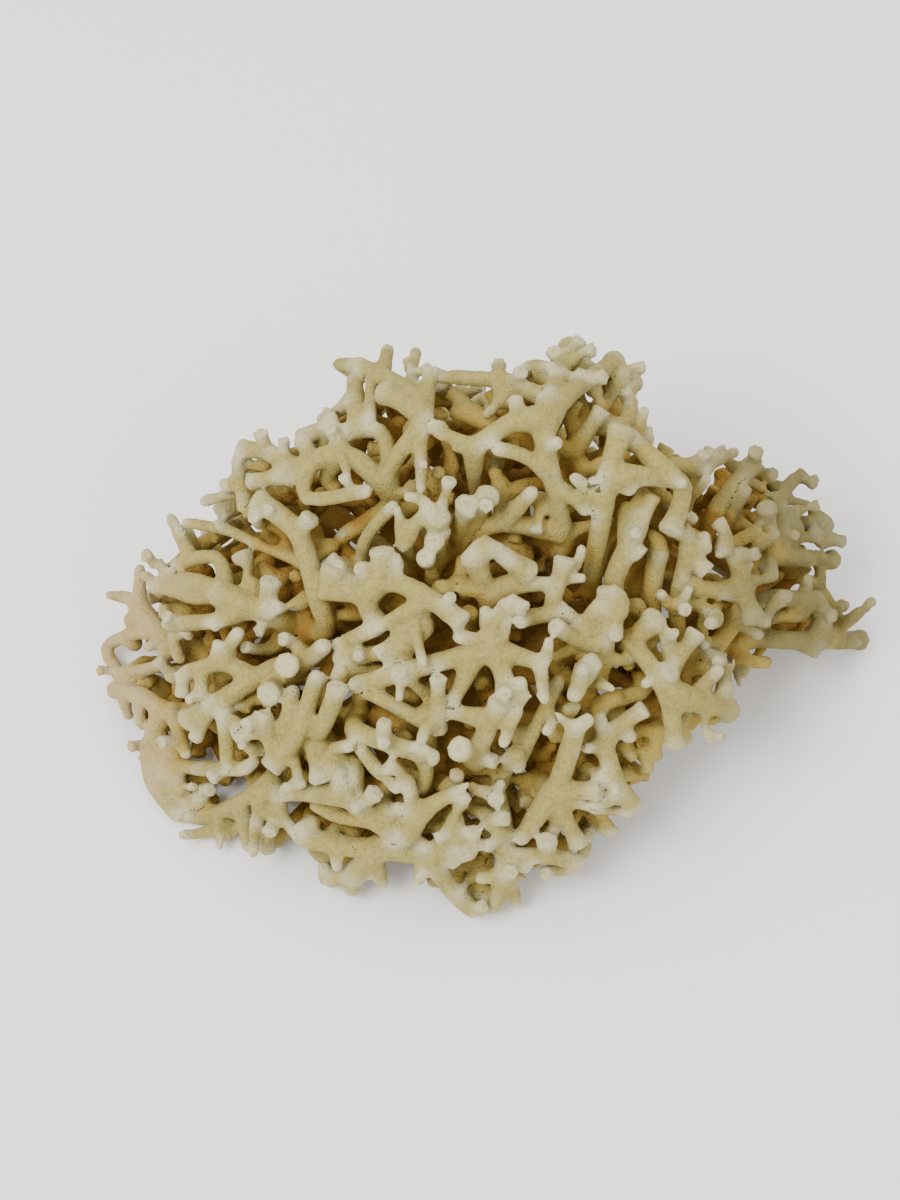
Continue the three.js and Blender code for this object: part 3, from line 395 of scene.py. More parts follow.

# Listed twigs, placed on whatever branch is nearest, each given like a branch.
FRONT_TWIGS = (
    # crown
    (1.7, CUT, (17, 69, -1), (19, 74.5, -3)),
    (2.1, ROUND, (24, 47, 6), (28.5, 44, 4), (32, 40, 4)),
    (1.0, POINT, (-14, 81, 1), (-14.7, 83.5, 1)),
    (1.1, ROUND, (10.5, 79, 2), (11, 82.5, 2)),
    (1.6, ROUND, (5, 79, 4), (5.5, 73, 8), (1.5, 68.5, 10)),
    (1.5, CUT, (31, 81, 11), (33.5, 84, 9)),
    (2.2, ROUND, (24, 48, 22), (14, 48, 18), (9, 46, 14)),
    (2.6, ROUND, (27, 56, 20), (32, 52.5, 14), (36, 54, 10)),
    # shoulder
    (2.7, ROUND, (40, 49.5, -2), (45.5, 46.5, -2)),
    (1.5, ROUND, (32.5, 46, 1), (34.5, 50, -1)),
    (2.2, CUT, (46, 30, 4), (48.5, 27, 1)),
    (2.0, ROUND, (43, 30, 4), (43, 38, 6), (44, 42, 6)),
    (1.9, ROUND, (59, 11, 10), (56, 13, 6), (54, 15.5, 4)),
    (1.5, ROUND, (59, 11, 9), (60.5, 13, 5), (63, 17.3, 1)),
    (1.7, KNOB, (59.5, 12, 8), (61.7, 10.5, 1)),
    (2.1, CUT, (31, 2, 10), (29, 7, 8), (26, 9, 6)),
    (2.8, ROUND, (31, -2, 14), (32.5, 6, 7), (36.5, 12.5, 3)),
    # right
    (1.9, CUT, (77.5, 24, 2), (80.7, 25.3, 0)),
    (1.5, ROUND, (67, 1, 20), (67, 8.5, 10), (71.5, 11.3, 7)),
    (1.8, POINT, (77, 25, 1), (74, 27, 0), (70.8, 26.8, -1)),
    (1.7, ROUND, (78, 50, 16), (82, 48.5, 18), (85, 46.5, 18)),
    (1.6, ROUND, (61.5, 41, 24), (65, 46, 14), (68.5, 50.5, 12)),
    (2.2, ROUND, (74, 36, 24), (77, 42, 16), (80, 47, 12)),
    (1.9, CUT, (92, 33.5, 8), (92.7, 38.8, 7)),
    (1.9, POINT, (91, 43.5, 12), (85.5, 45, 14)),
    (1.8, ROUND, (78.5, 24.5, 18), (83.5, 29.5, 9), (89, 33.7, 3)),
    (1.4, ROUND, (91.5, 42, 12), (97.5, 42.3, 11), (100, 39.5, 10), (99.8, 34.5, 7)),
    (2.3, CUT, (71, 26, 24), (77, 31, 14), (84, 34.5, 8)),
    (2.0, ROUND, (96, 9, 13), (89, 8.5, 15), (82, 5.5, 18)),
    (1.7, ROUND, (78, -3.5, 23), (79.5, -9, 18)),
    (1.9, ROUND, (96.5, 1, 11), (101, -2.7, 8)),
    # lower right
    (2.6, KNOB, (54, -11, 3), (57, -7.5, -1)),
    (1.5, ROUND, (52, -9.5, 3), (49, -12, 1)),
    (2.2, CUT, (70, -18, 1), (73.3, -13.7, 2)),
    (2.2, ROUND, (58.5, -5, 3), (55.5, 3, 3)),
    # centre
    (2.2, ROUND, (5, 15, 8), (13, 17.8, 5), (21, 18.5, 4)),
    (1.6, ROUND, (24, 19, 4), (29, 24, 3), (30.7, 29.3, 2)),
    (1.8, ROUND, (16, 8.5, 6), (12, 6.3, 0)),
    (2.6, ROUND, (-1, 26, 1), (2.5, 30.3, -1), (6, 27.5, -1)),
    (1.9, CUT, (8, 11.5, 0), (11, 12.5, -1), (13.7, 10.7, -2)),
    (1.9, ROUND, (3, 2.5, 4), (1.5, 11, 1)),
    (1.6, ROUND, (17.5, -5.5, 3), (20, -3, 1), (20.6, 1.7, 0)),
    (1.6, ROUND, (17.5, -5.5, 3), (19.3, -17, 0)),
    (2.3, ROUND, (8, -13, 8), (11.5, -16, 3), (12, -10.7, 0)),
    (1.5, POINT, (11.5, -14.5, 2), (15.5, -15.3, 1)),
    (1.2, ROUND, (-24, -8, 4), (-24.3, -16.5, 1)),
    # centre left
    (2.0, CUT, (-27.5, 23.5, 1), (-23.7, 25, 0)),
    (2.0, ROUND, (-16, 5, 6), (-22, 0, 5), (-29, -4, 5)),
    (1.6, ROUND, (-20.5, 7, 3), (-18.7, 1, 1), (-17, -6, 0)),
    (2.2, ROUND, (-30, 6, 6), (-36, 3, 5), (-43, 0, 9)),
    (2.3, KNOB, (-13, 25, 16), (-13.7, 31.5, 2)),
    (1.1, ROUND, (-11, 28, 12), (-9.4, 34.5, 3)),
    (1.6, ROUND, (-13, 39.5, 3), (-17, 43.3, 2), (-22.2, 44.5, 1)),
    (1.3, CUT, (-6, 37, 6), (-2.7, 39.5, 1)),
    (2.0, ROUND, (-36, 24, 12), (-35, 30, 8), (-31, 36.5, 6), (-25.5, 42, 4)),
    (2.5, ROUND, (-36, 24, 20), (-42, 31, 18), (-34, 37, 15), (-27, 42, 12)),
    (2.1, ROUND, (-22, 31, 5), (-19, 37, 2), (-15.5, 40.5, 2)),
    # upper left
    (1.7, ROUND, (-38, 70, 10), (-40.6, 72.7, 9)),
    (1.7, POINT, (-40, 56, 5), (-39.5, 51, 3), (-38.5, 47.5, 3)),
    (2.3, ROUND, (-42, 57, 8), (-46, 50, 12), (-43, 47, 14)),
    (1.2, ROUND, (-20.6, 81.5, 6), (-22.2, 85.5, 6)),
    (1.7, ROUND, (-31.5, 82, 5), (-33, 76.5, 6), (-32.5, 67.5, 9)),
    # left
    (2.5, CUT, (-53.5, 34, 1), (-50.7, 38.3, 0)),
    (2.0, ROUND, (-51, 24, 6), (-57, 27, 11), (-58.5, 31, 13)),
    (1.8, ROUND, (-77, 9, 4), (-80, 5, 1)),
    (2.1, CUT, (-79, 14, 5), (-85, 14, 5), (-91, 16, 6), (-97, 17.5, 6)),
    (1.9, CUT, (-84, -7, 3), (-83.6, -16, 0)),
    (1.8, ROUND, (-79, -6, 4), (-78.5, 0.8, 1)),
    (2.8, KNOB, (-56, -8, 16), (-58, -6, 2)),
    (2.1, ROUND, (-76, -6, 5), (-75.5, -1, 2), (-72.3, 4, -1)),
    (2.3, ROUND, (-101, 7, 15), (-105.5, 7.5, 14)),
    (2.0, ROUND, (-90, -1, 20), (-90, -4, 13), (-92, 2.5, 11), (-87, 3, 9)),
    # lower left
    (2.7, KNOB, (-99, -32, 10), (-96, -38, 5)),
    (1.7, ROUND, (-91, -37, 10), (-90, -42, 6), (-86, -42.3, 5)),
    (2.6, ROUND, (-65.5, -42, 9), (-65.5, -48, 7), (-66.3, -52, 7)),
    (1.8, ROUND, (-64.5, -25.5, 4), (-71, -27.3, 1)),
    (1.6, CUT, (-56, -34, 6), (-53.7, -42.5, -1)),
    (2.3, ROUND, (-60, -28, 10), (-58.5, -24, 6), (-57, -19, 5), (-56, -13, 8)),
    (2.2, KNOB, (-50, -30, 10), (-48.3, -40.5, 0)),
    (2.5, ROUND, (-46, -28, 16), (-46, -34, 6), (-41.5, -39, 5)),
    (1.9, ROUND, (-42, -34, 8), (-43.5, -31, 5), (-38.5, -30.5, 3)),
    (2.4, ROUND, (-38, -36, 10), (-37.5, -42, 8), (-36, -45.5, 7)),
    (2.1, KNOB, (-36, -48.5, 5), (-31.5, -44.3, 1)),
    (2.2, ROUND, (-33, -52.5, 8), (-42, -51.5, 9), (-50, -47.5, 9)),
    # front
    (1.6, ROUND, (-32, -66, 6), (-33.5, -69.5, 5)),
    (2.3, ROUND, (-10, -60, 5), (-7.7, -66, 2)),
    (1.7, ROUND, (-7.5, -54, 3), (-6, -62.3, 1)),
    (2.1, CUT, (-9, -62, 7), (-3, -62.5, 4), (-2, -55.5, 2)),
    (2.1, CUT, (7, -57, 5), (3.5, -53, 3), (8, -52, 0)),
    (1.8, CUT, (6, -60, 5), (1.5, -60, 2)),
    (2.4, KNOB, (20, -63, 4), (20, -58.5, 1)),
    (2.6, ROUND, (9, -65, 5), (14.5, -66.5, 2)),
    (2.1, ROUND, (6, -67, 7), (-0.5, -70, 5)),
    (1.7, POINT, (10, -67, 6), (14, -70.3, 5)),
    # front right
    (2.2, ROUND, (28.7, -25, 3), (33, -22, 1)),
    (1.9, ROUND, (27, -46, 7), (34, -48.5, 5)),
    (1.8, ROUND, (22.5, -45, 9), (22.5, -56, 8)),
    (2.0, ROUND, (41.5, -44, 4), (38, -46.5, 3), (34.5, -47.5, 4)),
    (2.0, ROUND, (41, -39.5, 4), (36, -39, 4)),
    (1.9, CUT, (43, -23.5, 9), (45, -28.3, 9)),
    (1.7, ROUND, (36, -31, 10), (31.7, -31, 5)),
    # centre low
    (1.8, CUT, (3, -20, 8), (10.5, -19, 4)),
    (1.8, ROUND, (10.3, -19.3, 4), (9, -24, 2), (6.8, -30, 1)),
    (2.5, ROUND, (6, -40, 20), (10.5, -32, 8), (11.5, -37, 9)),
    (2.0, KNOB, (5, -40, 18), (4.7, -46.5, 4)),
    (1.3, ROUND, (5, -40, 14), (6.5, -41.5, 5)),
    (1.7, ROUND, (20, -19, 8), (21.5, -23, 4), (19.7, -26.3, 1)),
    (2.0, CUT, (-30, -28.5, 4), (-28.7, -23.3, 1)),
    (1.8, ROUND, (-13, -25.5, 7), (-16, -24.5, 3), (-17.7, -29, 2)),
    (1.8, ROUND, (-18, -22.5, 8), (-14.5, -17, 11), (-16, -12, 14)),
    (2.3, ROUND, (-18, -32, 6), (-16, -38, 8), (-18, -44, 9)),
    # thin branches of all parts of the front
    (2.0, CUT, (6, 79, 3), (5.6, 84, 5)),
    (1.9, ROUND, (31, 66, 16), (29.5, 78, 12), (32, 86, 9)),
    (1.9, ROUND, (36.5, 43.5, 2), (28, 50.5, 0)),
    (1.7, ROUND, (69, 54, 15), (76.8, 58, 11)),
    (1.9, CUT, (104, 3, 12), (107.6, 6.5, 13), (102, 17, 15), (96.5, 20, 16)),
    (2.0, ROUND, (75, -1, 28), (80, -4.3, 20), (86.7, -5.3, 15)),
    (1.7, POINT, (74, -1, 28), (77.7, -12.3, 18)),
    (2.0, POINT, (67, -18.5, 0), (68, -27.7, 0)),
    (2.0, ROUND, (-17, 14, 2), (-31, 5, 4)),
    (1.7, KNOB, (-12, 39, 6), (-9.2, 49.5, 0)),
    (2.0, CUT, (-40.5, 56.5, 6), (-45, 68.3, 8)),
    (1.9, CUT, (-28.7, 81.5, 4), (-27.8, 88.3, 4)),
    (1.8, ROUND, (-17.5, 73, 4), (-20.5, 81, 6), (-19.2, 88, 6)),
    (2.0, KNOB, (-16.5, 68, 2), (-14.7, 82, -1)),
    (1.6, ROUND, (-17.5, 66.5, 3), (-17.7, 46, 5)),
    (1.7, ROUND, (-52, 26, 8), (-65, 29.5, 11), (-76, 34.5, 10), (-88.5, 36.7, 10)),
    (1.7, ROUND, (-86, 25.5, 9), (-93, 38.7, 9)),
    (1.8, ROUND, (-102, 13, 14), (-102, 23.5, 12)),
    (1.8, POINT, (-103.5, 13.5, 14), (-109, 15.8, 13)),
    (2.0, ROUND, (-71, -49, 8), (-69.6, -61, 6)),
    (2.0, POINT, (-60.5, -49, 5), (-54.5, -59.5, 3)),
    (2.0, ROUND, (-30, -63, 6), (-29, -72, 5)),
    (2.0, ROUND, (-16.5, -64, 6), (-18.7, -71, 5)),
    (1.9, ROUND, (8, -67, 6), (11, -77.5, 4)),
)

BACK_TWIGS = (
    # back
    (2.1, ROUND, (-41, 56, 7), (-28, 60, 2)),
    (2.1, CUT, (-9, 68, 7), (-24, 74, 4)),
    (2.2, CUT, (58, 28, 8), (76, 23, 4), (90, 24, 3)),
)

# The small holes that can be seen through: right, up and half the width.
HOLES = (
    (-105, -3, 3.5), (-96, 0, 1.5), (-91, 11, 2.5), (-66, 25, 3), (-83, 23, 1.5), (-54, 4, 1.8),
    (-42, 4, 1.2), (-38, 10, 1.5), (-40, -11, 1.5), (-80, -34, 3), (-75, -42, 6), (-55, -50, 3),
    (-50, -54, 1.5), (-30, 35, 1), (-31, 68, 2), (-35, 60, 1.5), (-1, 72, 2.5), (35, 72, 2.5),
    (43, 56, 1.2), (17.5, 27.3, 1.2), (20.5, 27, 1.2), (39, -23, 1.5), (30, -33, 1),
)


# How branches are laid, in millimetres. A branch is a little thinner than its given radius, and
# wider over a few radii at its root. One that starts near another starts on it, and one that
# starts further away is joined where the way is short and straight. A branch's points that lie
# within a share of its tip's length give way to the tip.
SLENDER = 0.96
ROOT_FLARE = 0.5
FLARE_RADII = 4
SAMPLE_STEP = 1.5
SNAP = 2.5
TURN_COST = 0.4
TIP_ROOM = 0.8

# Twigs that fill the thicket end this deep under its outside. They cost more the more they turn
# away from the middle, and bow by a share of their length.
DEEPEST_TWIG = 25
SHALLOWEST_TWIG = 4
LONGEST_TWIG = 24
LOWEST_TWIG = 2.6
OUTWARD_COST = 1.1
BEND_SHARE = 0.13
TWIG_RADII = (1.4, 2.05)
THICKER_WITH_LENGTH = 0.012

# Twigs that cover what is left of the floor between the branches.
GAP_ROUNDS = 3
GAP_SPACING = 4
GAP_DEPTHS = (9, 26)
GAP_RADII = (1.5, 2.1)
GAP_SWAY = 0.5
GAP_OVERLAP = 4
GAP_LOWEST = LOWEST_TWIG + 2
GAP_SHALLOWEST = 3
COVER_MARGIN = 0.3
COVER_CELLS = 2

# Short stubs on the sides of the outer branches. Their radius is a share of their branch's, and
# they point outwards with some sway, turned away from along their branch.
STUB_DEPTH = 14
STUB_LOWEST = 6
STUB_LENGTHS = (2, 4.5)
STUB_SHARES = (0.72, 0.98)
STUB_WIDEST = 2.1
STUB_ROOM = 2.2
STUB_OUTWARD = 0.9
STUB_SWAY = 0.5
STUB_TURN = 0.7

# Points taken on the solids' outside: one on each patch of this area. Below the holdfast's top,
# what is further than the gap from all branches belongs to the holdfast.
SAMPLE_AREA = 3
SAMPLE_SEED = 3
HOLDFAST_GAP = 1.2
HOLDFAST_TOP = 1.1 * HOLDFAST_HEIGHT

# What is stored on the mesh for the finish, and over which distances in millimetres it fades:
# how near a tip a point is, how near the pit in a tip's middle (painted shade in it), how deep in
# the thicket (painted shade and warm bounced light of the hollows), and the painted pit shade and dirt.
MARKS = ("tip", "pit", "depth", "pit_shade_and_dirt")
TIP_RANGE = (0.8, 6)
PIT_RANGE = (0.4, 1.1)
DEPTH_RANGE = (1.5, 22)
DEPTH_SPREAD = 6
FAR_SHARE = 0.18
FAR_DEPTH = 26
PIT_SHADE_AND_DIRT_DEPTHS = (14, 22)
PIT_SHADE_AND_DIRT_EDGE = (0.6, 1.2)

# The painted shade of a dark pit, then the patches of dirt specks: right, up, half the width, half the
# height, strength.
PIT_SHADE_AND_DIRT = (
    (75, -3.5, 1.3, 2.8, 1.0),
    (28, 15, 3, 3, 0.5),
    (-37, -61, 4, 3, 0.5),
    (-30, -60, 3, 2, 0.45),
    (23, -4, 3, 3, 0.45),
)

# How wide the patches in the hollows' painted shade, the mottling, fine grain and pits are, in metres.
PATCH_SIZE = 9 * MM
MOTTLE_SIZE = 1.6 * MM
GRAIN_SIZE = 0.45 * MM
PIT_SIZE = 1.0 * MM

# How far from the middle the far left lobe's pinker hue and the far right lobe's darker colour begin and are
# full, in metres.
PINK_FROM_TO = (-0.074, -0.108)
OLIVE_FROM_TO = (0.05, 0.084)


class CoralSizes(bpy.types.PropertyGroup):
    """Sizes of the coral's fine shape."""

    grain: FloatProperty(
        name="Grain", description="Width of one face of the fused skeleton",
        default=0.8 * MM, min=0.5 * MM, subtype="DISTANCE", unit="LENGTH")
    web: IntProperty(
        name="Webs", description="How often the forks are smoothed", default=3, min=0)
    web_swell: FloatProperty(
        name="Web swell", description="What the twigs gain back after the forks are smoothed",
        default=0.1 * MM, subtype="DISTANCE", unit="LENGTH")
    lump_size: FloatProperty(
        name="Lump size", description="How far apart the lumps on a branch are",
        default=3.2 * MM, subtype="DISTANCE", unit="LENGTH")
    lump_height: FloatProperty(
        name="Lump height", description="How high the lumps on a branch are",
        default=0.4 * MM, subtype="DISTANCE", unit="LENGTH")
    spacing: FloatProperty(
        name="Spacing", description="Free room round the tip of each grown twig",
        default=6.0 * MM, subtype="DISTANCE", unit="LENGTH")
    stub_spacing: FloatProperty(
        name="Stub spacing", description="How far apart the side stubs stand",
        default=19.0 * MM, subtype="DISTANCE", unit="LENGTH")
    under_front: FloatProperty(
        name="Under the front", description="How far behind the front branches the grown twigs end",
        default=2.5 * MM, subtype="DISTANCE", unit="LENGTH")
    tries: IntProperty(
        name="Tries", description="How many places are tried for a grown twig", default=26000, min=0)
    seed: IntProperty(name="Seed", description="Chooses where the grown twigs are", default=11)


class CoralColours(bpy.types.PropertyGroup):
    """Colours of the dry skeleton, of the painted shade in its hollows and pits, and of the floor."""

    ivory: FloatVectorProperty(
        name="Ivory", description="The near branches", subtype="COLOR", size=3, default=(0.36, 0.298, 0.092))
    tip: FloatVectorProperty(
        name="Tips", description="The worn tips", subtype="COLOR", size=3, default=(0.62, 0.58, 0.39))
    speck: FloatVectorProperty(
        name="Specks", description="Dark specks at the tips", subtype="COLOR", size=3,
        default=(0.2, 0.19, 0.15))
    # Painted shade and warm bounced light of the hollows, also painted at the middle of the tips' ends.
    painted_shade_gold: FloatVectorProperty(
        name="Gold", description="The hollows between branches", subtype="COLOR", size=3,
        default=(0.37, 0.265, 0.06))
    # Painted shade of the deepest hollows.
    dark: FloatVectorProperty(
        name="Dark", description="The deepest hollows", subtype="COLOR", size=3, default=(0.27, 0.145, 0.02))
    pink: FloatVectorProperty(
        name="Pink", description="The far left lobe", subtype="COLOR", size=3, default=(0.5, 0.36, 0.19))
    olive: FloatVectorProperty(
        name="Olive", description="The far right lobe", subtype="COLOR", size=3, default=(0.18, 0.15, 0.05))
    # The dark pit is painted shade; the specks are dirt.
    pit_shade_and_dirt: FloatVectorProperty(
        name="Dirt", description="The dark pit and the patches of specks", subtype="COLOR", size=3,
        default=(0.05, 0.028, 0.012))
    floor: FloatVectorProperty(
        name="Floor", description="The floor", subtype="COLOR", size=3, default=(0.94, 0.94, 0.93))


def smoothstep(value, low, high):
    share = np.clip((value - low) / (high - low), 0.0, 1.0)
    return share * share * (3 - 2 * share)


# Places, in millimetres.


def dome_near(right, up):
    """How far the domed outside stands towards the eye at a place in the picture plane."""
    half_span, half_depth, height = SPAN / 2, DEPTH / 2, HEIGHT
    s, c = math.sin(SIGHT_ANGLE), math.cos(SIGHT_ANGLE)
    square = (c / half_depth) ** 2 + (s / height) ** 2
    linear = 2 * up * s * c * (1 / height**2 - 1 / half_depth**2)
    rest = up**2 * ((s / half_depth) ** 2 + (c / height) ** 2) + (right / half_span) ** 2 - 1
    root = math.sqrt(max(linear**2 - 4 * square * rest, 0))
    lift = CROWN_LIFT * float(smoothstep(up, CROWN_LIFT_FROM, CROWN_LIFT_TO))
    return (root - linear) / (2 * square) + lift


def seen(place, radius):
    """The point of the coral at a place as it is seen from the front."""
    right, up, sunk = place
    lowest = (radius + FLOOR_GAP - up * SIGHT_UP[2]) / SIGHT_NEAR[2]
    near = max(dome_near(right, up) - sunk, lowest)
    shrink = 1 - near / EYE_DISTANCE
    point = SIGHT_RIGHT * right * shrink + SIGHT_UP * up * shrink + SIGHT_NEAR * near
    point[2] = max(point[2], radius + FLOOR_GAP)
    return point


def behind(place, radius):
    """The point of the coral's back at a place across, a height, and a depth under its outside."""
    across, height, sunk = place
    top = BACK_TOP * (1 - (abs(across) / BACK_SPAN) ** BACK_CURVE)
    outside = (top - height * SIGHT_UP[2]) / SIGHT_UP[1]
    return np.array([across, outside - sunk, max(height, radius + FLOOR_GAP)])


# The branches, as paths with a width at each point.


def bent(points):
    """A few more points along a path, so that it bends smoothly."""
    if len(points) < 3:
        return points
    spline = [points[0]]
    padded = np.concatenate([points[:1], points, points[-1:]])
    for i in range(1, len(padded) - 2):
        before, start, end, after = padded[i - 1 : i + 3]
        for share in (0.33, 0.67, 1.0):
            two, three = share * share, share**3
            spline.append(0.5 * (2 * start + (end - before) * share
                                 + (2 * before - 5 * start + 4 * end - after) * two
                                 + (3 * start - before - 3 * end + after) * three))
    return np.array(spline)


def tree_of(points):
    tree = KDTree(len(points))
    for i, point in enumerate(points):
        tree.insert(point, i)
    tree.balance()
    return tree


class Skeleton:
    """All branches of the coral, and points along them to grow more from."""

    def __init__(self):
        self.paths = []
        self.places = np.zeros((0, 3))
        self.headings = np.zeros((0, 3))
        self.radii = np.zeros(0)
        self.owners = np.zeros(0, int)

    def add(self, owner, radii, tip, points):
        """Adds a branch of a piece. Its radius is one number, or one for each point."""
        points = np.array(points)
        radii = np.broadcast_to(np.asarray(radii, float), len(points)).copy()
        self.paths.append((radii, tip, points))
        along = np.concatenate([[0], np.cumsum(np.linalg.norm(np.diff(points, axis=0), axis=1))])
        at = np.linspace(0, along[-1], max(2, int(along[-1] / SAMPLE_STEP) + 1))
        fresh = np.stack([np.interp(at, along, column) for column in points.T], axis=1)
        headings = np.gradient(fresh, axis=0)
        headings /= np.maximum(np.linalg.norm(headings, axis=1), 1e-9)[:, None]
        self.places = np.concatenate([self.places, fresh])
        self.headings = np.concatenate([self.headings, headings])
        self.radii = np.concatenate([self.radii, np.interp(at, along, radii)])
        self.owners = np.concatenate([self.owners, np.full(len(fresh), PIECES.index(owner))])

    def nearest(self, point):
        """The nearest point of any branch, its piece and its distance."""
        gaps = np.linalg.norm(self.places - point, axis=1)
        k = int(gaps.argmin())
        return self.places[k], PIECES[self.owners[k]], gaps[k]

    def has(self, owner):
        return bool((self.owners == PIECES.index(owner)).any())

    def root_for(self, owner, start, following):
        """Where a branch that starts at a point best joins a piece: near, and in line with it."""
        places = self.places[self.owners == PIECES.index(owner)]
        across = start - places
        gaps = np.linalg.norm(across, axis=1)
        heading = (following - start) / np.linalg.norm(following - start)
        turn = 1 - (across @ heading) / np.maximum(gaps, 1e-6)
        cost = gaps * (1 + TURN_COST * np.where(gaps > SNAP, turn, 0))
        return places[int(cost.argmin())]


def add_limbs_to(skeleton):
    """The limbs, bent from the holdfast's side up to their hubs."""
    for limbs, point_at in ((FRONT_LIMBS, seen), (BACK_LIMBS, behind)):
        for name, hub in limbs.items():
            end = point_at(hub, LIMB_TIP)
            flat = np.array([end[0], end[1], 0.0])
            start = flat / np.linalg.norm(flat) * HOLDFAST_RADIUS * LIMB_START
            start[2] = HOLDFAST_HEIGHT / 2
            bend = flat * LIMB_BEND[0]
            bend[2] = max(end[2] * LIMB_BEND[1], HOLDFAST_HEIGHT)
            share = np.linspace(0, 1, LIMB_POINTS)[:, None]
            points = start * (1 - share) ** 2 + bend * 2 * share * (1 - share) + end * share**2
            skeleton.add(name, np.linspace(LIMB_ROOT, LIMB_TIP, LIMB_POINTS), ROUND, points)


def rooted(root, points):
    """A branch's points, started from its root, which takes the place of a first point near it."""
    rest = points[1:] if np.linalg.norm(points[0] - root) < SNAP else points
    return np.concatenate([[root], rest])


def add_sprays_to(skeleton):
    """The sprays' branches, the first on the spray's limb and the others on the spray itself."""
    for sprays, point_at in ((FRONT_SPRAYS, seen), (BACK_SPRAYS, behind)):
        for name, (limb, *branches) in sprays.items():
            for radius, tip, *places in branches:
                points = np.array([point_at(place, radius) for place in places])
                grows_from = name if skeleton.has(name) else limb
                root = skeleton.root_for(grows_from, points[0], points[1])
                skeleton.add(name, SLENDER * radius, tip, bent(rooted(root, points)))


def add_hand_twigs_to(skeleton):
    """The listed twigs, each on the branch nearest to its start."""
    for table, point_at in ((FRONT_TWIGS, seen), (BACK_TWIGS, behind)):
        for radius, tip, *places in table:
            points = np.array([point_at(place, radius) for place in places])
            root, owner, _ = skeleton.nearest(points[0])
            skeleton.add(owner, SLENDER * radius, tip, bent(rooted(root, points)))


def outside_points():
    """Points all over the solids' outside, and the number of the piece that each lies on."""
    picker = np.random.default_rng(SAMPLE_SEED)
    found, owners = [], []
    for number, name in enumerate(PIECES):
        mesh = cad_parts[name].data
        mesh.calc_loop_triangles()
        indices = np.zeros(len(mesh.loop_triangles) * 3, int)
        mesh.loop_triangles.foreach_get("vertices", indices)
        sides = coordinates(mesh)[indices].reshape(-1, 3, 3) / MM
        area = np.linalg.norm(np.cross(sides[:, 1] - sides[:, 0], sides[:, 2] - sides[:, 0]), axis=1) / 2
        count = int(area.sum() / SAMPLE_AREA)
        picked = sides[picker.choice(len(sides), count, p=area / area.sum())]
        u, v = picker.random((2, count, 1))
        over = (u + v) > 1
        u, v = np.where(over, 1 - u, u), np.where(over, 1 - v, v)
        found.append(picked[:, 0] + u * (picked[:, 1] - picked[:, 0]) + v * (picked[:, 2] - picked[:, 0]))
        owners.append(np.full(count, number))
    return np.concatenate(found), np.concatenate(owners)


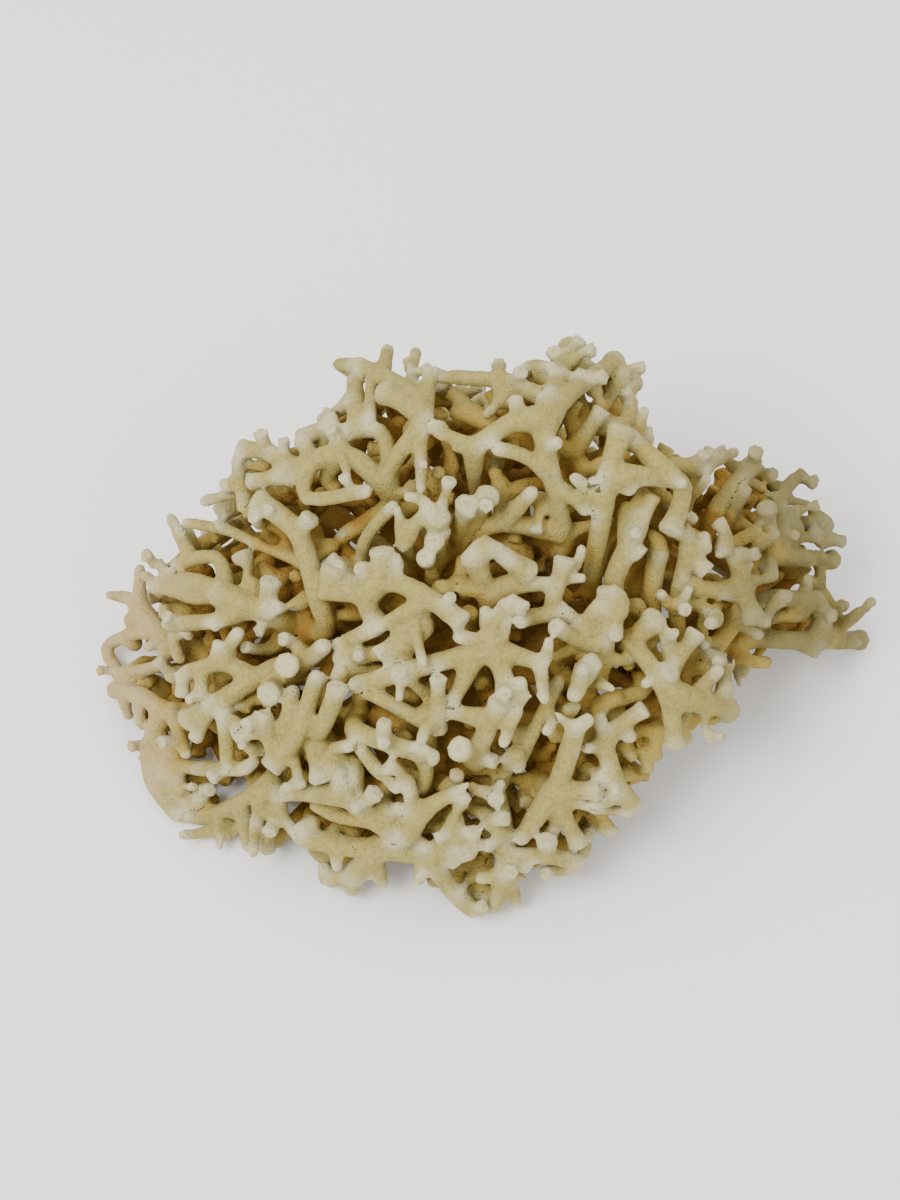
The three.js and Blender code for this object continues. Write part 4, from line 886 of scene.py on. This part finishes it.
class Room:
    """Where grown twigs may end: inside the colony's outline, and under its front branches."""

    # Cells of the sight plane and finer ones in millimetres, cells of direction in degrees, the
    # middle, the sight plane's lower left corner, and how often its front is closed, cut back at
    # its edge and filled.
    CELL = 4.0
    FINE = 1.5
    TURN = 10.0
    MIDDLE = np.array([0.0, 0.0, 8.0])
    LOW = np.array([-SPAN, -SPAN]) * 0.7
    CLOSED = 2
    CUT_BACK = 3
    FILLED = 3

    def __init__(self, outsides, owners):
        self.owners = owners
        self.tree = tree_of(outsides)
        self.front = np.full([int(-2 * low / self.CELL) for low in self.LOW], -np.inf)
        cells, near = self.cells(outsides)
        np.maximum.at(self.front, (cells[:, 0], cells[:, 1]), near)
        seen_at = np.isfinite(self.front)
        self.inside = self.shrunk(~self.shrunk(~seen_at, self.CLOSED), self.CUT_BACK)
        for _ in range(self.FILLED):
            self.front = np.where(np.isfinite(self.front), self.front, self.around(self.front))
        self.highest = self.around(self.front, np.max)
        self.mean = self.around(self.front)
        self.reach = np.zeros((int(360 / self.TURN), int(180 / self.TURN) + 1))
        turns, far = self.turns(outsides)
        np.maximum.at(self.reach, (turns[:, 0], turns[:, 1]), far)

    @staticmethod
    def around(front, combine=None):
        """The mean of the known values around each cell, or what combine makes of them."""
        shifted = np.stack([np.roll(front, (i, j), (0, 1)) for i in (-1, 0, 1) for j in (-1, 0, 1)])
        if combine:
            return combine(shifted, axis=0)
        known = np.isfinite(shifted)
        mean = np.where(known, shifted, 0).sum(0) / np.maximum(known.sum(0), 1)
        return np.where(known.any(0), mean, -np.inf)

    @staticmethod
    def shrunk(mask, times):
        """A mask with its edge taken off a number of times."""
        for _ in range(times):
            small = mask.copy()
            for axis in (0, 1):
                for step in (-1, 1):
                    small &= np.roll(mask, step, axis)
            mask = small
        return mask

    @staticmethod
    def flat(points):
        """Where points are seen in the sight plane, and how near to the eye."""
        near = points @ SIGHT_NEAR
        grow = 1 / (1 - near / EYE_DISTANCE)
        return np.stack([points @ SIGHT_RIGHT * grow, points @ SIGHT_UP * grow], axis=1), near

    def cells(self, points):
        flat, near = self.flat(points)
        return ((flat - self.LOW) / self.CELL).astype(int), near

    def turns(self, points):
        """The direction of points from the middle, as cells, and how far they are."""
        arms = points - self.MIDDLE
        far = np.linalg.norm(arms, axis=1)
        turn = np.degrees(np.arctan2(arms[:, 1], arms[:, 0])) % 360
        lift = np.degrees(np.arcsin(np.clip(arms[:, 2] / far, -1, 1))) + 90
        return (np.stack([turn, lift], axis=1) / self.TURN).astype(int), far

    def uncovered(self, skeleton):
        """The spots on the sight plane where the floor can still be seen through the coral."""
        covered = np.zeros([int(-2 * low / self.FINE) for low in self.LOW], bool)
        flat = (self.flat(skeleton.places)[0] - self.LOW) / self.FINE
        around = range(-COVER_CELLS, COVER_CELLS + 1)
        for i in around:
            for j in around:
                spots = (flat + (i, j)).astype(int)
                gaps = np.linalg.norm(spots + 0.5 - flat, axis=1) * self.FINE
                hit = gaps < skeleton.radii + COVER_MARGIN
                covered[spots[hit, 0], spots[hit, 1]] = True
        spots = np.argwhere(~covered)
        flat = (spots + 0.5) * self.FINE + self.LOW
        coarse = np.minimum(((flat - self.LOW) / self.CELL).astype(int), len(self.inside) - 1)
        flat = flat[self.inside[coarse[:, 0], coarse[:, 1]]]
        for right, up, wide in HOLES:
            flat = flat[np.linalg.norm(flat - (right, up), axis=1) > wide]
        return flat

    def point_under(self, spot, depth):
        """The point at a depth under the front at a spot of the sight plane, or None."""
        i, j = ((spot - self.LOW) / self.CELL).astype(int)
        front = self.highest[i, j]
        near = front - depth
        right, up = spot * (1 - near / EYE_DISTANCE)
        near = max(near, (GAP_LOWEST - up * SIGHT_UP[2]) / SIGHT_NEAR[2])
        if near > front - GAP_SHALLOWEST:
            return None
        return right * SIGHT_RIGHT + up * SIGHT_UP + near * SIGHT_NEAR

    def owner_near(self, point):
        """The piece whose solid is nearest to a point."""
        return PIECES[self.owners[self.tree.find(point)[1]]]

    def depths_of(self, points):
        """How deep points lie under the outside all round, and under the front."""
        turns, far = self.turns(points)
        cells, near = self.cells(points)
        front = self.highest[cells[:, 0], cells[:, 1]]
        under_front = np.where(np.isfinite(front), front - near, 0)
        return self.reach[turns[:, 0], turns[:, 1]] - far, under_front

    def allows(self, points, under_front):
        """Which points are inside the thicket, and deep enough under its front."""
        cells, near = self.cells(points)
        ok = self.inside[cells[:, 0], cells[:, 1]]
        ok &= near < self.mean[cells[:, 0], cells[:, 1]] - under_front
        turns, far = self.turns(points)
        under = self.reach[turns[:, 0], turns[:, 1]] - far
        ok &= (under > SHALLOWEST_TWIG) & (under < DEEPEST_TWIG)
        return ok & (points[:, 2] > LOWEST_TWIG)


def grow_twigs_on(skeleton, sizes, room):
    """Twigs that fill the thicket behind and between the listed ones, inner ones first."""
    chance = random.Random(sizes.seed)
    picker = np.random.default_rng(sizes.seed)
    low, high = np.array(CAD_BOX[0]) / MM, np.array(CAD_BOX[1]) / MM
    tries = low + picker.random((sizes.tries, 3)) * (high - low)
    tries = tries[room.allows(tries, sizes.under_front / MM)]
    tries = tries[np.argsort(np.linalg.norm(tries, axis=1))]
    for end in tries:
        arms = end - skeleton.places
        length = np.linalg.norm(arms, axis=1)
        if length.min() < sizes.spacing / MM:
            continue
        outward = end / np.linalg.norm(end)
        slant = 1 - (arms @ outward) / length
        cost = np.where(slant > 1, np.inf, length * (1 + OUTWARD_COST * slant))
        k = int(cost.argmin())
        if length[k] > LONGEST_TWIG or slant[k] > 1:
            continue
        root = skeleton.places[k]
        sideways = np.cross(arms[k], picker.normal(size=3))
        sideways *= BEND_SHARE * length[k] / max(np.linalg.norm(sideways), 1e-6)
        middle = (root + end) / 2 + sideways + outward * BEND_SHARE / 2 * length[k]
        points = bent(np.array([root, middle, end]))
        points[:, 2] = np.maximum(points[:, 2], LOWEST_TWIG)
        radius = chance.uniform(*TWIG_RADII) + THICKER_WITH_LENGTH * length[k]
        owner = room.owner_near((root + end) / 2)
        skeleton.add(owner, radius, chance.choice((CUT, ROUND, KNOB)), points)


def close_gaps_on(skeleton, sizes, room):
    """Twigs deep inside wherever the floor could still be seen between the branches."""
    chance = random.Random(sizes.seed + 2)
    picker = np.random.default_rng(sizes.seed + 2)
    for _ in range(GAP_ROUNDS):
        spots = room.uncovered(skeleton)
        picker.shuffle(spots)
        closed = np.zeros((0, 2))
        for spot in spots:
            if len(closed) and np.linalg.norm(closed - spot, axis=1).min() < GAP_SPACING:
                continue
            middle = room.point_under(spot, chance.uniform(*GAP_DEPTHS))
            if middle is None:
                continue
            root, _, gap = skeleton.nearest(middle)
            if gap > LONGEST_TWIG:
                continue
            heading = (middle - root) / max(gap, 1e-6) + GAP_SWAY * picker.normal(size=3)
            end = middle + heading * GAP_OVERLAP
            end[2] = max(end[2], LOWEST_TWIG)
            points = bent(np.array([root, middle, end]))
            tip = chance.choice((CUT, ROUND))
            skeleton.add(room.owner_near(middle), chance.uniform(*GAP_RADII), tip, points)
            closed = np.concatenate([closed, spot[None]])


def grow_stubs_on(skeleton, sizes, room):
    """Short side stubs on the outer branches, which point outwards."""
    chance = random.Random(sizes.seed + 1)
    places, headings = skeleton.places.copy(), skeleton.headings.copy()
    radii, owners = skeleton.radii.copy(), skeleton.owners.copy()
    under = np.minimum(*room.depths_of(places))
    order = list(range(len(places)))
    chance.shuffle(order)
    roots = np.zeros((0, 3))
    for i in order:
        root = places[i]
        if under[i] > STUB_DEPTH or root[2] < STUB_LOWEST:
            continue
        if len(roots) and np.linalg.norm(roots - root, axis=1).min() < sizes.stub_spacing / MM:
            continue
        outward = root / np.linalg.norm(root)
        heading = outward * STUB_OUTWARD + np.array([chance.gauss(0, STUB_SWAY) for _ in range(3)])
        heading -= STUB_TURN * (heading @ headings[i]) * headings[i]
        heading /= np.linalg.norm(heading)
        end = root + heading * (radii[i] + chance.uniform(*STUB_LENGTHS))
        if skeleton.nearest(end)[2] < radii[i] + STUB_ROOM or end[2] < LOWEST_TWIG:
            continue
        radius = chance.uniform(*STUB_SHARES) * min(radii[i], STUB_WIDEST)
        points = np.array([root, (root + end) / 2, end])
        skeleton.add(PIECES[owners[i]], radius, chance.choice((STUB, CUT, ROUND)), points)
        roots = np.concatenate([roots, root[None]])


def heading_of(points):
    """The direction in which a branch ends."""
    last = points[-1] - points[-2]
    return last / np.linalg.norm(last)


def tube_of(radii, tip, points):
    """A branch's points and widths, wide at its root and with the shape of its tip."""
    radius = radii[-1]
    heading = heading_of(points)
    room = np.linalg.norm(points[-1] - points, axis=1)
    kept = [k for k in range(len(points) - 1) if room[k] > -tip[0][0] * radius * TIP_ROOM] or [0]
    from_root = np.linalg.norm(points[kept] - points[0], axis=1)
    flare = 1 + ROOT_FLARE * (1 - smoothstep(from_root, 0, FLARE_RADII * radius))
    ends = [points[-1] + heading * share * radius for share, _ in tip]
    widths = list(radii[kept] * flare) + [radius * wide for _, wide in tip]
    return list(points[kept]) + ends, widths


def tube_mesh(paths):
    """All branches as closed round tubes in one mesh."""
    curve = bpy.data.curves.new("branches", "CURVE")
    curve.dimensions = "3D"
    curve.bevel_depth = MM
    curve.bevel_resolution = 2
    curve.use_fill_caps = True
    curve.twist_mode = "MINIMUM"
    for path in paths:
        places, widths = tube_of(*path)
        spline = curve.splines.new("POLY")
        spline.points.add(len(places) - 1)
        for spot, place, wide in zip(spline.points, places, widths):
            spot.co = (*(place * MM), 1.0)
            spot.radius = wide
    tubes = bpy.data.objects.new("fused_coral", curve)
    bpy.context.scene.collection.objects.link(tubes)
    select_only(tubes)
    bpy.ops.object.convert(target="MESH")
    weld(tubes)
    return tubes


# Tools that shape a mesh. Points nearer than the weld are joined.

WELD = 0.01 * MM


def select_only(*objects):
    bpy.ops.object.select_all(action="DESELECT")
    for one in objects:
        one.hide_viewport = False
        one.select_set(True)
    bpy.context.view_layer.objects.active = objects[0]


def weld(one):
    select_only(one)
    bpy.ops.object.mode_set(mode="EDIT")
    bpy.ops.mesh.select_all(action="SELECT")
    bpy.ops.mesh.remove_doubles(threshold=WELD)
    bpy.ops.mesh.normals_make_consistent(inside=False)
    bpy.ops.object.mode_set(mode="OBJECT")


def modify(one, kind, **settings):
    modifier = one.modifiers.new(kind.lower(), kind)
    for name, value in settings.items():
        setattr(modifier, name, value)
    select_only(one)
    bpy.ops.object.modifier_apply(modifier=modifier.name)


def fuse(one, grain):
    modify(one, "REMESH", mode="VOXEL", voxel_size=grain, adaptivity=0.0)


def smooth(one, times):
    modify(one, "SMOOTH", factor=0.5, iterations=times)


def swell(one, amount):
    modify(one, "DISPLACE", strength=amount, mid_level=0.0)


def lumps(one, size, height):
    texture = bpy.data.textures.new("lumps", "CLOUDS")
    texture.noise_scale = size
    texture.noise_depth = 2
    modify(one, "DISPLACE", texture=texture, texture_coords="LOCAL", strength=height, mid_level=0.5)
    bpy.data.textures.remove(texture)


def holdfast_copy():
    """A copy of the holdfast's solid, to be fused with the branches."""
    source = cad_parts["holdfast"]
    copy = source.copy()
    copy.data = source.data.copy()
    copy.parent = None
    for key in list(copy.keys()):
        del copy[key]
    copy.data.materials.clear()
    bpy.context.scene.collection.objects.link(copy)
    weld(copy)
    return copy


def coordinates(mesh):
    flat = np.zeros(len(mesh.vertices) * 3, np.float32)
    mesh.vertices.foreach_get("co", flat)
    return flat.reshape(-1, 3).astype(float)


def set_value(mesh, name, values):
    attribute = mesh.attributes.new(name, "FLOAT", "POINT")
    attribute.data.foreach_set("value", values.astype(np.float32))


def spread(mesh, values, times):
    """Values averaged with those of the neighbouring points, again and again."""
    ends = np.zeros(len(mesh.edges) * 2, int)
    mesh.edges.foreach_get("vertices", ends)
    a, b = ends.reshape(-1, 2).T
    count = len(mesh.vertices)
    share = 1 / np.maximum(np.bincount(ends, minlength=count), 1)
    for _ in range(times):
        values = np.stack([
            (np.bincount(a, column[b], count) + np.bincount(b, column[a], count)) * share
            for column in values.T
        ], axis=1)
    return values


def flatten_cut(mesh):
    """Brings what the lumps pushed through the flat cut back up to it."""
    points = coordinates(mesh)
    points[:, 2] = np.maximum(points[:, 2], 0)
    mesh.vertices.foreach_set("co", points.astype(np.float32).ravel())
    mesh.update()


def mark_tips(mesh, skeleton):
    """How near each point is to a branch's tip, and to the pit in the middle of its end."""
    ends = []
    for radii, tip, points in skeleton.paths:
        ends.append(points[-1] + heading_of(points) * tip[-1][0] * radii[-1])
    tree = tree_of(ends)
    away = np.array([tree.find(point)[2] for point in coordinates(mesh) / MM])
    set_value(mesh, "tip", 1 - smoothstep(away, *TIP_RANGE))
    set_value(mesh, "pit", 1 - smoothstep(away, *PIT_RANGE))


def mark_depth(mesh, room):
    """How deep each point lies under the colony's outside, from 0 outside to 1 deep inside, for the painted
    shade and warm bounced light of the hollows.
    """
    under, under_front = room.depths_of(coordinates(mesh) / MM)
    # Branches far under the front get a share of that depth, so painted golden bounced light shows where
    # they are seen through gaps.
    depth = np.maximum(np.minimum(under, under_front), np.minimum(under_front, FAR_DEPTH) * FAR_SHARE)
    depth = spread(mesh, depth[:, None], DEPTH_SPREAD)[:, 0]
    set_value(mesh, "depth", smoothstep(depth, *DEPTH_RANGE))


def mark_pit_shade_and_dirt(mesh, room):
    """The painted shade of the dark pit and the patches of dirt specks on the front, from 0 for clean to 1
    for all dark.
    """
    points = coordinates(mesh) / MM
    flat = room.flat(points)[0]
    near_front = 1 - smoothstep(room.depths_of(points)[1], *PIT_SHADE_AND_DIRT_DEPTHS)
    pit_shade_and_dirt = np.zeros(len(points))
    for right, up, wide, high, strength in PIT_SHADE_AND_DIRT:
        away = np.linalg.norm((flat - (right, up)) / (wide, high), axis=1)
        pit_shade_and_dirt = np.maximum(pit_shade_and_dirt, strength * (1 - smoothstep(away, *PIT_SHADE_AND_DIRT_EDGE)))
    set_value(mesh, "pit_shade_and_dirt", pit_shade_and_dirt * near_front)


def owner_of_faces(mesh, skeleton):
    """The piece that each corner of each face belongs to: that of the nearest branch."""
    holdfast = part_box("holdfast")
    tree = tree_of(skeleton.places * MM)
    points = coordinates(mesh)
    found = [tree.find(point)[1:] for point in points]
    nearest = np.array([index for index, _ in found])
    gap = np.array([distance for _, distance in found]) - skeleton.radii[nearest] * MM
    low = np.array(holdfast[0]) - MM
    high = np.array([holdfast[1][0], holdfast[1][1], HOLDFAST_TOP * MM])
    on_holdfast = ((points > low) & (points < high)).all(1) & (gap > HOLDFAST_GAP * MM)
    labels = np.where(on_holdfast, PIECES.index("holdfast"), skeleton.owners[nearest])
    quads = np.zeros(len(mesh.polygons) * 4, int)
    mesh.polygons.foreach_get("vertices", quads)
    return labels[quads.reshape(-1, 4)]


def majority(corners):
    """The value that most of each face's four corners have."""
    first = corners[:, 0]
    for k in (1, 2, 3):
        votes_first = (corners == first[:, None]).sum(1)
        votes_other = (corners == corners[:, k : k + 1]).sum(1)
        first = np.where(votes_other > votes_first, corners[:, k], first)
    return first


def cut_out(name, fused, labels, material):
    """The part of the fused skeleton that stands for one piece, its open ends filled where they can be."""
    number = PIECES.index(name)
    source = fused.data
    quads = np.zeros(len(source.polygons) * 4, int)
    source.polygons.foreach_get("vertices", quads)
    own = quads.reshape(-1, 4)[labels == number]
    used, corners = np.unique(own, return_inverse=True)
    mesh = bpy.data.meshes.new(name)
    mesh.from_pydata(coordinates(source)[used], [], corners.reshape(-1, 4).tolist())
    for key in MARKS:
        values = np.zeros(len(source.vertices), np.float32)
        source.attributes[key].data.foreach_get("value", values)
        set_value(mesh, key, values[used])
    piece = bpy.data.objects.new(name + "_skeleton", mesh)
    bpy.context.scene.collection.objects.link(piece)
    mesh.materials.append(material)
    select_only(piece)
    bpy.ops.object.mode_set(mode="EDIT")
    bpy.ops.mesh.select_mode(type="EDGE")
    bpy.ops.mesh.select_all(action="DESELECT")
    bpy.ops.mesh.select_non_manifold(extend=False, use_multi_face=False, use_non_contiguous=False,
                                     use_verts=False)
    bpy.ops.mesh.fill_holes(sides=0)
    bpy.ops.object.mode_set(mode="OBJECT")
    select_only(piece)
    bpy.ops.object.shade_smooth_by_angle(angle=math.radians(60))
    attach(piece, "root")
    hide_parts(name)
    return piece


# The finish of the dry skeleton.


class Nodes:
    """Shader nodes of one material, added and joined in few words."""

    def __init__(self, material):
        material.use_nodes = True
        self.tree = material.node_tree
        self.shader = self.tree.nodes["Principled BSDF"]

    def add(self, kind, **inputs):
        node = self.tree.nodes.new(kind)
        for name, value in inputs.items():
            self.set(node.inputs[name.replace("_", " ")], value)
        return node

    def set(self, socket, value):
        if isinstance(value, bpy.types.NodeSocket):
            self.tree.links.new(value, socket)
        else:
            socket.default_value = value

    def noise(self, place, size, detail=3.0, roughness=0.6):
        node = self.add("ShaderNodeTexNoise", Vector=place, Scale=1 / size, Detail=detail,
                        Roughness=roughness)
        return node.outputs["Fac"]

    def cells(self, place, size):
        node = self.add("ShaderNodeTexVoronoi", Vector=place, Scale=1 / size, Randomness=1.0)
        return node.outputs["Distance"]

    def ramp(self, value, low, high, to_low=0.0, to_high=1.0):
        node = self.tree.nodes.new("ShaderNodeMapRange")
        node.interpolation_type = "SMOOTHSTEP"
        self.set(node.inputs["Value"], value)
        for name, number in (("From Min", low), ("From Max", high), ("To Min", to_low), ("To Max", to_high)):
            node.inputs[name].default_value = number
        return node.outputs["Result"]

    def plus(self, first, second):
        return self.reckoned("ADD", first, second)

    def times(self, first, second):
        return self.reckoned("MULTIPLY", first, second)

    def reckoned(self, operation, first, second):
        node = self.tree.nodes.new("ShaderNodeMath")
        node.operation = operation
        self.set(node.inputs[0], first)
        self.set(node.inputs[1], second)
        return node.outputs[0]

    def mix(self, share, first, second):
        node = self.tree.nodes.new("ShaderNodeMix")
        node.data_type = "RGBA"
        self.set(node.inputs["Factor"], share)
        self.set(node.inputs[6], first if isinstance(first, bpy.types.NodeSocket) else (*first, 1.0))
        self.set(node.inputs[7], second if isinstance(second, bpy.types.NodeSocket) else (*second, 1.0))
        return node.outputs[2]


def skeleton_finish(colours):
    """Dry chalky skeleton: cream ivory, whiter speckled tips, and golden to red-brown painted shade and warm
    bounced light in the hollows.
    """
    material = bpy.data.materials.new("dry_coral_skeleton")
    nodes = Nodes(material)
    place = nodes.add("ShaderNodeTexCoord").outputs["Object"]
    tip = attribute(nodes, "tip")
    depth = attribute(nodes, "depth")
    across = nodes.add("ShaderNodeSeparateXYZ", Vector=place).outputs["X"]

    patches = nodes.noise(place, PATCH_SIZE, 3)
    mottle = nodes.noise(place, MOTTLE_SIZE, 4, 0.7)
    grain = nodes.noise(place, GRAIN_SIZE, 3, 0.7)
    pits = nodes.cells(place, PIT_SIZE)

    colour = nodes.mix(nodes.ramp(mottle, 0.35, 0.75), colours.ivory, [c * 0.74 for c in colours.ivory])
    left = nodes.ramp(across, *PINK_FROM_TO)
    right = nodes.ramp(across, *OLIVE_FROM_TO)
    colour = nodes.mix(nodes.times(left, 0.6), colour, colours.pink)
    # Darker towards the far right lobe.
    colour = nodes.mix(nodes.times(right, 0.9), colour, colours.olive)
    # The tips' whiter wear is held back where the hollows' painted shade lies.
    worn = nodes.times(tip, nodes.ramp(depth, 0.25, 0.03, 0.0, 0.65))
    far = nodes.plus(left, right)
    worn = nodes.times(worn, nodes.ramp(far, 0.2, 1.0, 1.0, 0.3))
    colour = nodes.mix(worn, colour, colours.tip)
    # Painted shade and warm bounced light of the hollows: golden, then dark red-brown deeper in, broken up
    # by patches.
    shade_in_hollows = nodes.plus(depth, nodes.ramp(patches, 0.35, 0.7, -0.14, 0.14))
    colour = nodes.mix(nodes.ramp(shade_in_hollows, 0.02, 0.44), colour, colours.painted_shade_gold)
    colour = nodes.mix(nodes.ramp(shade_in_hollows, 0.42, 0.95), colour, colours.dark)
    # Painted shade of a pit at the middle of each tip's end, in the hollows' gold.
    pit = nodes.times(attribute(nodes, "pit"), 0.45)
    colour = nodes.mix(pit, colour, colours.painted_shade_gold)
    speck = nodes.times(nodes.ramp(pits, 0.32, 0.12), nodes.ramp(mottle, 0.45, 0.6))
    speck = nodes.times(speck, nodes.ramp(worn, 0.0, 0.7, 0.12, 0.6))
    colour = nodes.mix(speck, colour, colours.speck)
    # Painted shade of the dark pit, and dirt specks broken up by the pits' cells.
    pit_shade_and_dirt = nodes.plus(attribute(nodes, "pit_shade_and_dirt"), nodes.ramp(pits, 0.5, 0.0, -0.3, 0.3))
    colour = nodes.mix(nodes.ramp(pit_shade_and_dirt, 0.5, 0.7), colour, colours.pit_shade_and_dirt)
    nodes.set(nodes.shader.inputs["Base Color"], colour)

    nodes.set(nodes.shader.inputs["Roughness"], nodes.ramp(mottle, 0.3, 0.7, 0.78, 0.95))
    nodes.shader.inputs["Specular IOR Level"].default_value = 0.25
    relief = nodes.plus(mottle, nodes.times(grain, 0.5))
    relief = nodes.plus(relief, nodes.times(nodes.ramp(pits, 0.1, 0.4), 0.55))
    bump = nodes.add("ShaderNodeBump", Height=relief, Strength=0.9, Distance=0.45 * MM)
    nodes.set(nodes.shader.inputs["Normal"], bump.outputs["Normal"])
    return material


def attribute(nodes, name):
    node = nodes.add("ShaderNodeAttribute")
    node.attribute_name = name
    return node.outputs["Fac"]


def finish_of(scene):
    found = bpy.data.materials.get("dry_coral_skeleton")
    return found or skeleton_finish(scene.coral_colours)


# What a user presses.


class CORAL_OT_skeleton(bpy.types.Operator):
    """Grow the twigs, and fuse them with the branches into one skeleton"""

    bl_idname = "coral.skeleton"
    bl_label = "Grow the skeleton"

    def execute(self, context):
        sizes = context.scene.coral_sizes
        skeleton = Skeleton()
        room = Room(*outside_points())
        add_limbs_to(skeleton)
        add_sprays_to(skeleton)
        add_hand_twigs_to(skeleton)
        grow_stubs_on(skeleton, sizes, room)
        grow_twigs_on(skeleton, sizes, room)
        close_gaps_on(skeleton, sizes, room)
        fused = tube_mesh(skeleton.paths)
        base = holdfast_copy()
        select_only(fused, base)
        bpy.ops.object.join()
        fuse(fused, sizes.grain)
        lumps(fused, sizes.lump_size, sizes.lump_height)
        smooth(fused, sizes.web)
        swell(fused, sizes.web_swell)
        flatten_cut(fused.data)
        mark_tips(fused.data, skeleton)
        mark_depth(fused.data, room)
        mark_pit_shade_and_dirt(fused.data, room)
        labels = majority(owner_of_faces(fused.data, skeleton))
        stored = fused.data.attributes.new("piece", "INT", "FACE")
        stored.data.foreach_set("value", labels.astype(np.int32))
        return {"FINISHED"}


def cut_pieces(names):
    fused = bpy.data.objects["fused_coral"]
    labels = np.zeros(len(fused.data.polygons), np.int32)
    fused.data.attributes["piece"].data.foreach_get("value", labels)
    material = finish_of(bpy.context.scene)
    for name in names:
        cut_out(name, fused, labels, material)


def is_limb(name):
    return name == "holdfast" or (name.endswith("limb") and name != "left_cross_limb")


def is_back(name):
    return name.startswith("back_") and not is_limb(name)


class CORAL_OT_limbs(bpy.types.Operator):
    """Cut the holdfast and the limbs out of the skeleton"""

    bl_idname = "coral.limbs"
    bl_label = "Holdfast and limbs"

    def execute(self, context):
        cut_pieces([name for name in PIECES if is_limb(name)])
        return {"FINISHED"}


class CORAL_OT_front_sprays(bpy.types.Operator):
    """Cut the sprays that the front view shows out of the skeleton"""

    bl_idname = "coral.front_sprays"
    bl_label = "Front sprays"

    def execute(self, context):
        cut_pieces([name for name in PIECES if not is_limb(name) and not is_back(name)])
        return {"FINISHED"}


class CORAL_OT_back_sprays(bpy.types.Operator):
    """Cut the back sprays out of the skeleton, of which nothing is then left"""

    bl_idname = "coral.back_sprays"
    bl_label = "Back sprays"

    def execute(self, context):
        cut_pieces([name for name in PIECES if is_back(name)])
        bpy.data.objects.remove(bpy.data.objects["fused_coral"])
        return {"FINISHED"}


class CORAL_OT_stage(bpy.types.Operator):
    """Add the pale floor, the soft lights and the camera"""

    bl_idname = "coral.stage"
    bl_label = "Floor, lights and camera"

    def execute(self, context):
        add_floor(context.scene.coral_colours)
        add_lights()
        add_camera()
        return {"FINISHED"}


def add_floor(colours):
    bpy.ops.object.select_all(action="DESELECT")
    bpy.ops.mesh.primitive_plane_add(size=6, location=(0, 0, 0))
    floor = bpy.context.active_object
    floor.name = "floor"
    material = bpy.data.materials.new("pale_floor")
    nodes = Nodes(material)
    place = nodes.add("ShaderNodeTexCoord").outputs["Object"]
    shade = nodes.ramp(nodes.noise(place, 0.2), 0.3, 0.7, 0.0, 0.3)
    darker = [c * 0.98 for c in colours.floor]
    nodes.set(nodes.shader.inputs["Base Color"], nodes.mix(shade, colours.floor, darker))
    nodes.shader.inputs["Roughness"].default_value = 0.9
    floor.data.materials.append(material)


LIGHTS = (
    # name, place, size and power: a large soft light above left, a weaker one right, one behind
    ("key", (-0.55, -0.45, 1.1), 0.6, 17.0),
    ("fill", (0.9, -0.5, 0.7), 0.9, 2.5),
    ("top", (0.1, 0.5, 1.2), 0.8, 4.0),
)
SKY = (1.0, 0.985, 0.96)
SKY_STRENGTH = 1.15


def add_lights():
    for name, place, size, power in LIGHTS:
        light = bpy.data.lights.new(name, "AREA")
        light.size = size
        light.energy = power
        lamp = bpy.data.objects.new(name, light)
        lamp.location = place
        lamp.rotation_euler = (-Vector(place)).to_track_quat("-Z", "Y").to_euler()
        bpy.context.scene.collection.objects.link(lamp)
    world = bpy.data.worlds.new("studio")
    world.use_nodes = True
    background = world.node_tree.nodes["Background"]
    background.inputs["Color"].default_value = (*SKY, 1.0)
    background.inputs["Strength"].default_value = SKY_STRENGTH
    bpy.context.scene.world = world


# The photo's frame is 900 by 1200, and the middle of the base is seen at this place in it.
FRAME_HEIGHT = 1200
BASE_OFFSET = (30, 45)
LENS = 80
SENSOR = 36


def add_camera():
    camera = bpy.data.cameras.new("camera")
    camera.sensor_fit = "VERTICAL"
    camera.sensor_height = SENSOR
    camera.lens = LENS
    camera.shift_x = -BASE_OFFSET[0] / FRAME_HEIGHT
    camera.shift_y = BASE_OFFSET[1] / FRAME_HEIGHT
    holder = bpy.data.objects.new("camera", camera)
    holder.location = Vector(SIGHT_NEAR) * EYE_DISTANCE * MM
    holder.rotation_euler = (math.pi / 2 - SIGHT_ANGLE, 0, 0)
    bpy.context.scene.collection.objects.link(holder)
    bpy.context.scene.camera = holder


class CORAL_PT_panel(bpy.types.Panel):
    """The coral's sizes, colours and steps"""

    bl_idname = "CORAL_PT_panel"
    bl_label = "Branching coral"
    bl_space_type = "VIEW_3D"
    bl_region_type = "UI"
    bl_category = "Coral"

    def draw(self, context):
        for step in STEPS:
            self.layout.operator(step.bl_idname)
        for group in (context.scene.coral_sizes, context.scene.coral_colours):
            for name in group.__annotations__:
                self.layout.prop(group, name)


STEPS = (CORAL_OT_skeleton, CORAL_OT_limbs, CORAL_OT_front_sprays, CORAL_OT_back_sprays, CORAL_OT_stage)
CLASSES = (CoralSizes, CoralColours, *STEPS, CORAL_PT_panel)


def register():
    for one in CLASSES:
        bpy.utils.register_class(one)
    bpy.types.Scene.coral_sizes = PointerProperty(type=CoralSizes)
    bpy.types.Scene.coral_colours = PointerProperty(type=CoralColours)


def unregister():
    del bpy.types.Scene.coral_colours
    del bpy.types.Scene.coral_sizes
    for one in reversed(CLASSES):
        bpy.utils.unregister_class(one)


def corners(box):
    return [[float(value) for value in corner] for corner in box]


def main():
    register()
    bpy.ops.coral.skeleton()
    bpy.ops.coral.limbs()
    bpy.ops.coral.front_sprays()
    bpy.ops.coral.back_sprays()
    bpy.ops.coral.stage()


if __name__ == "__main__":
    main()
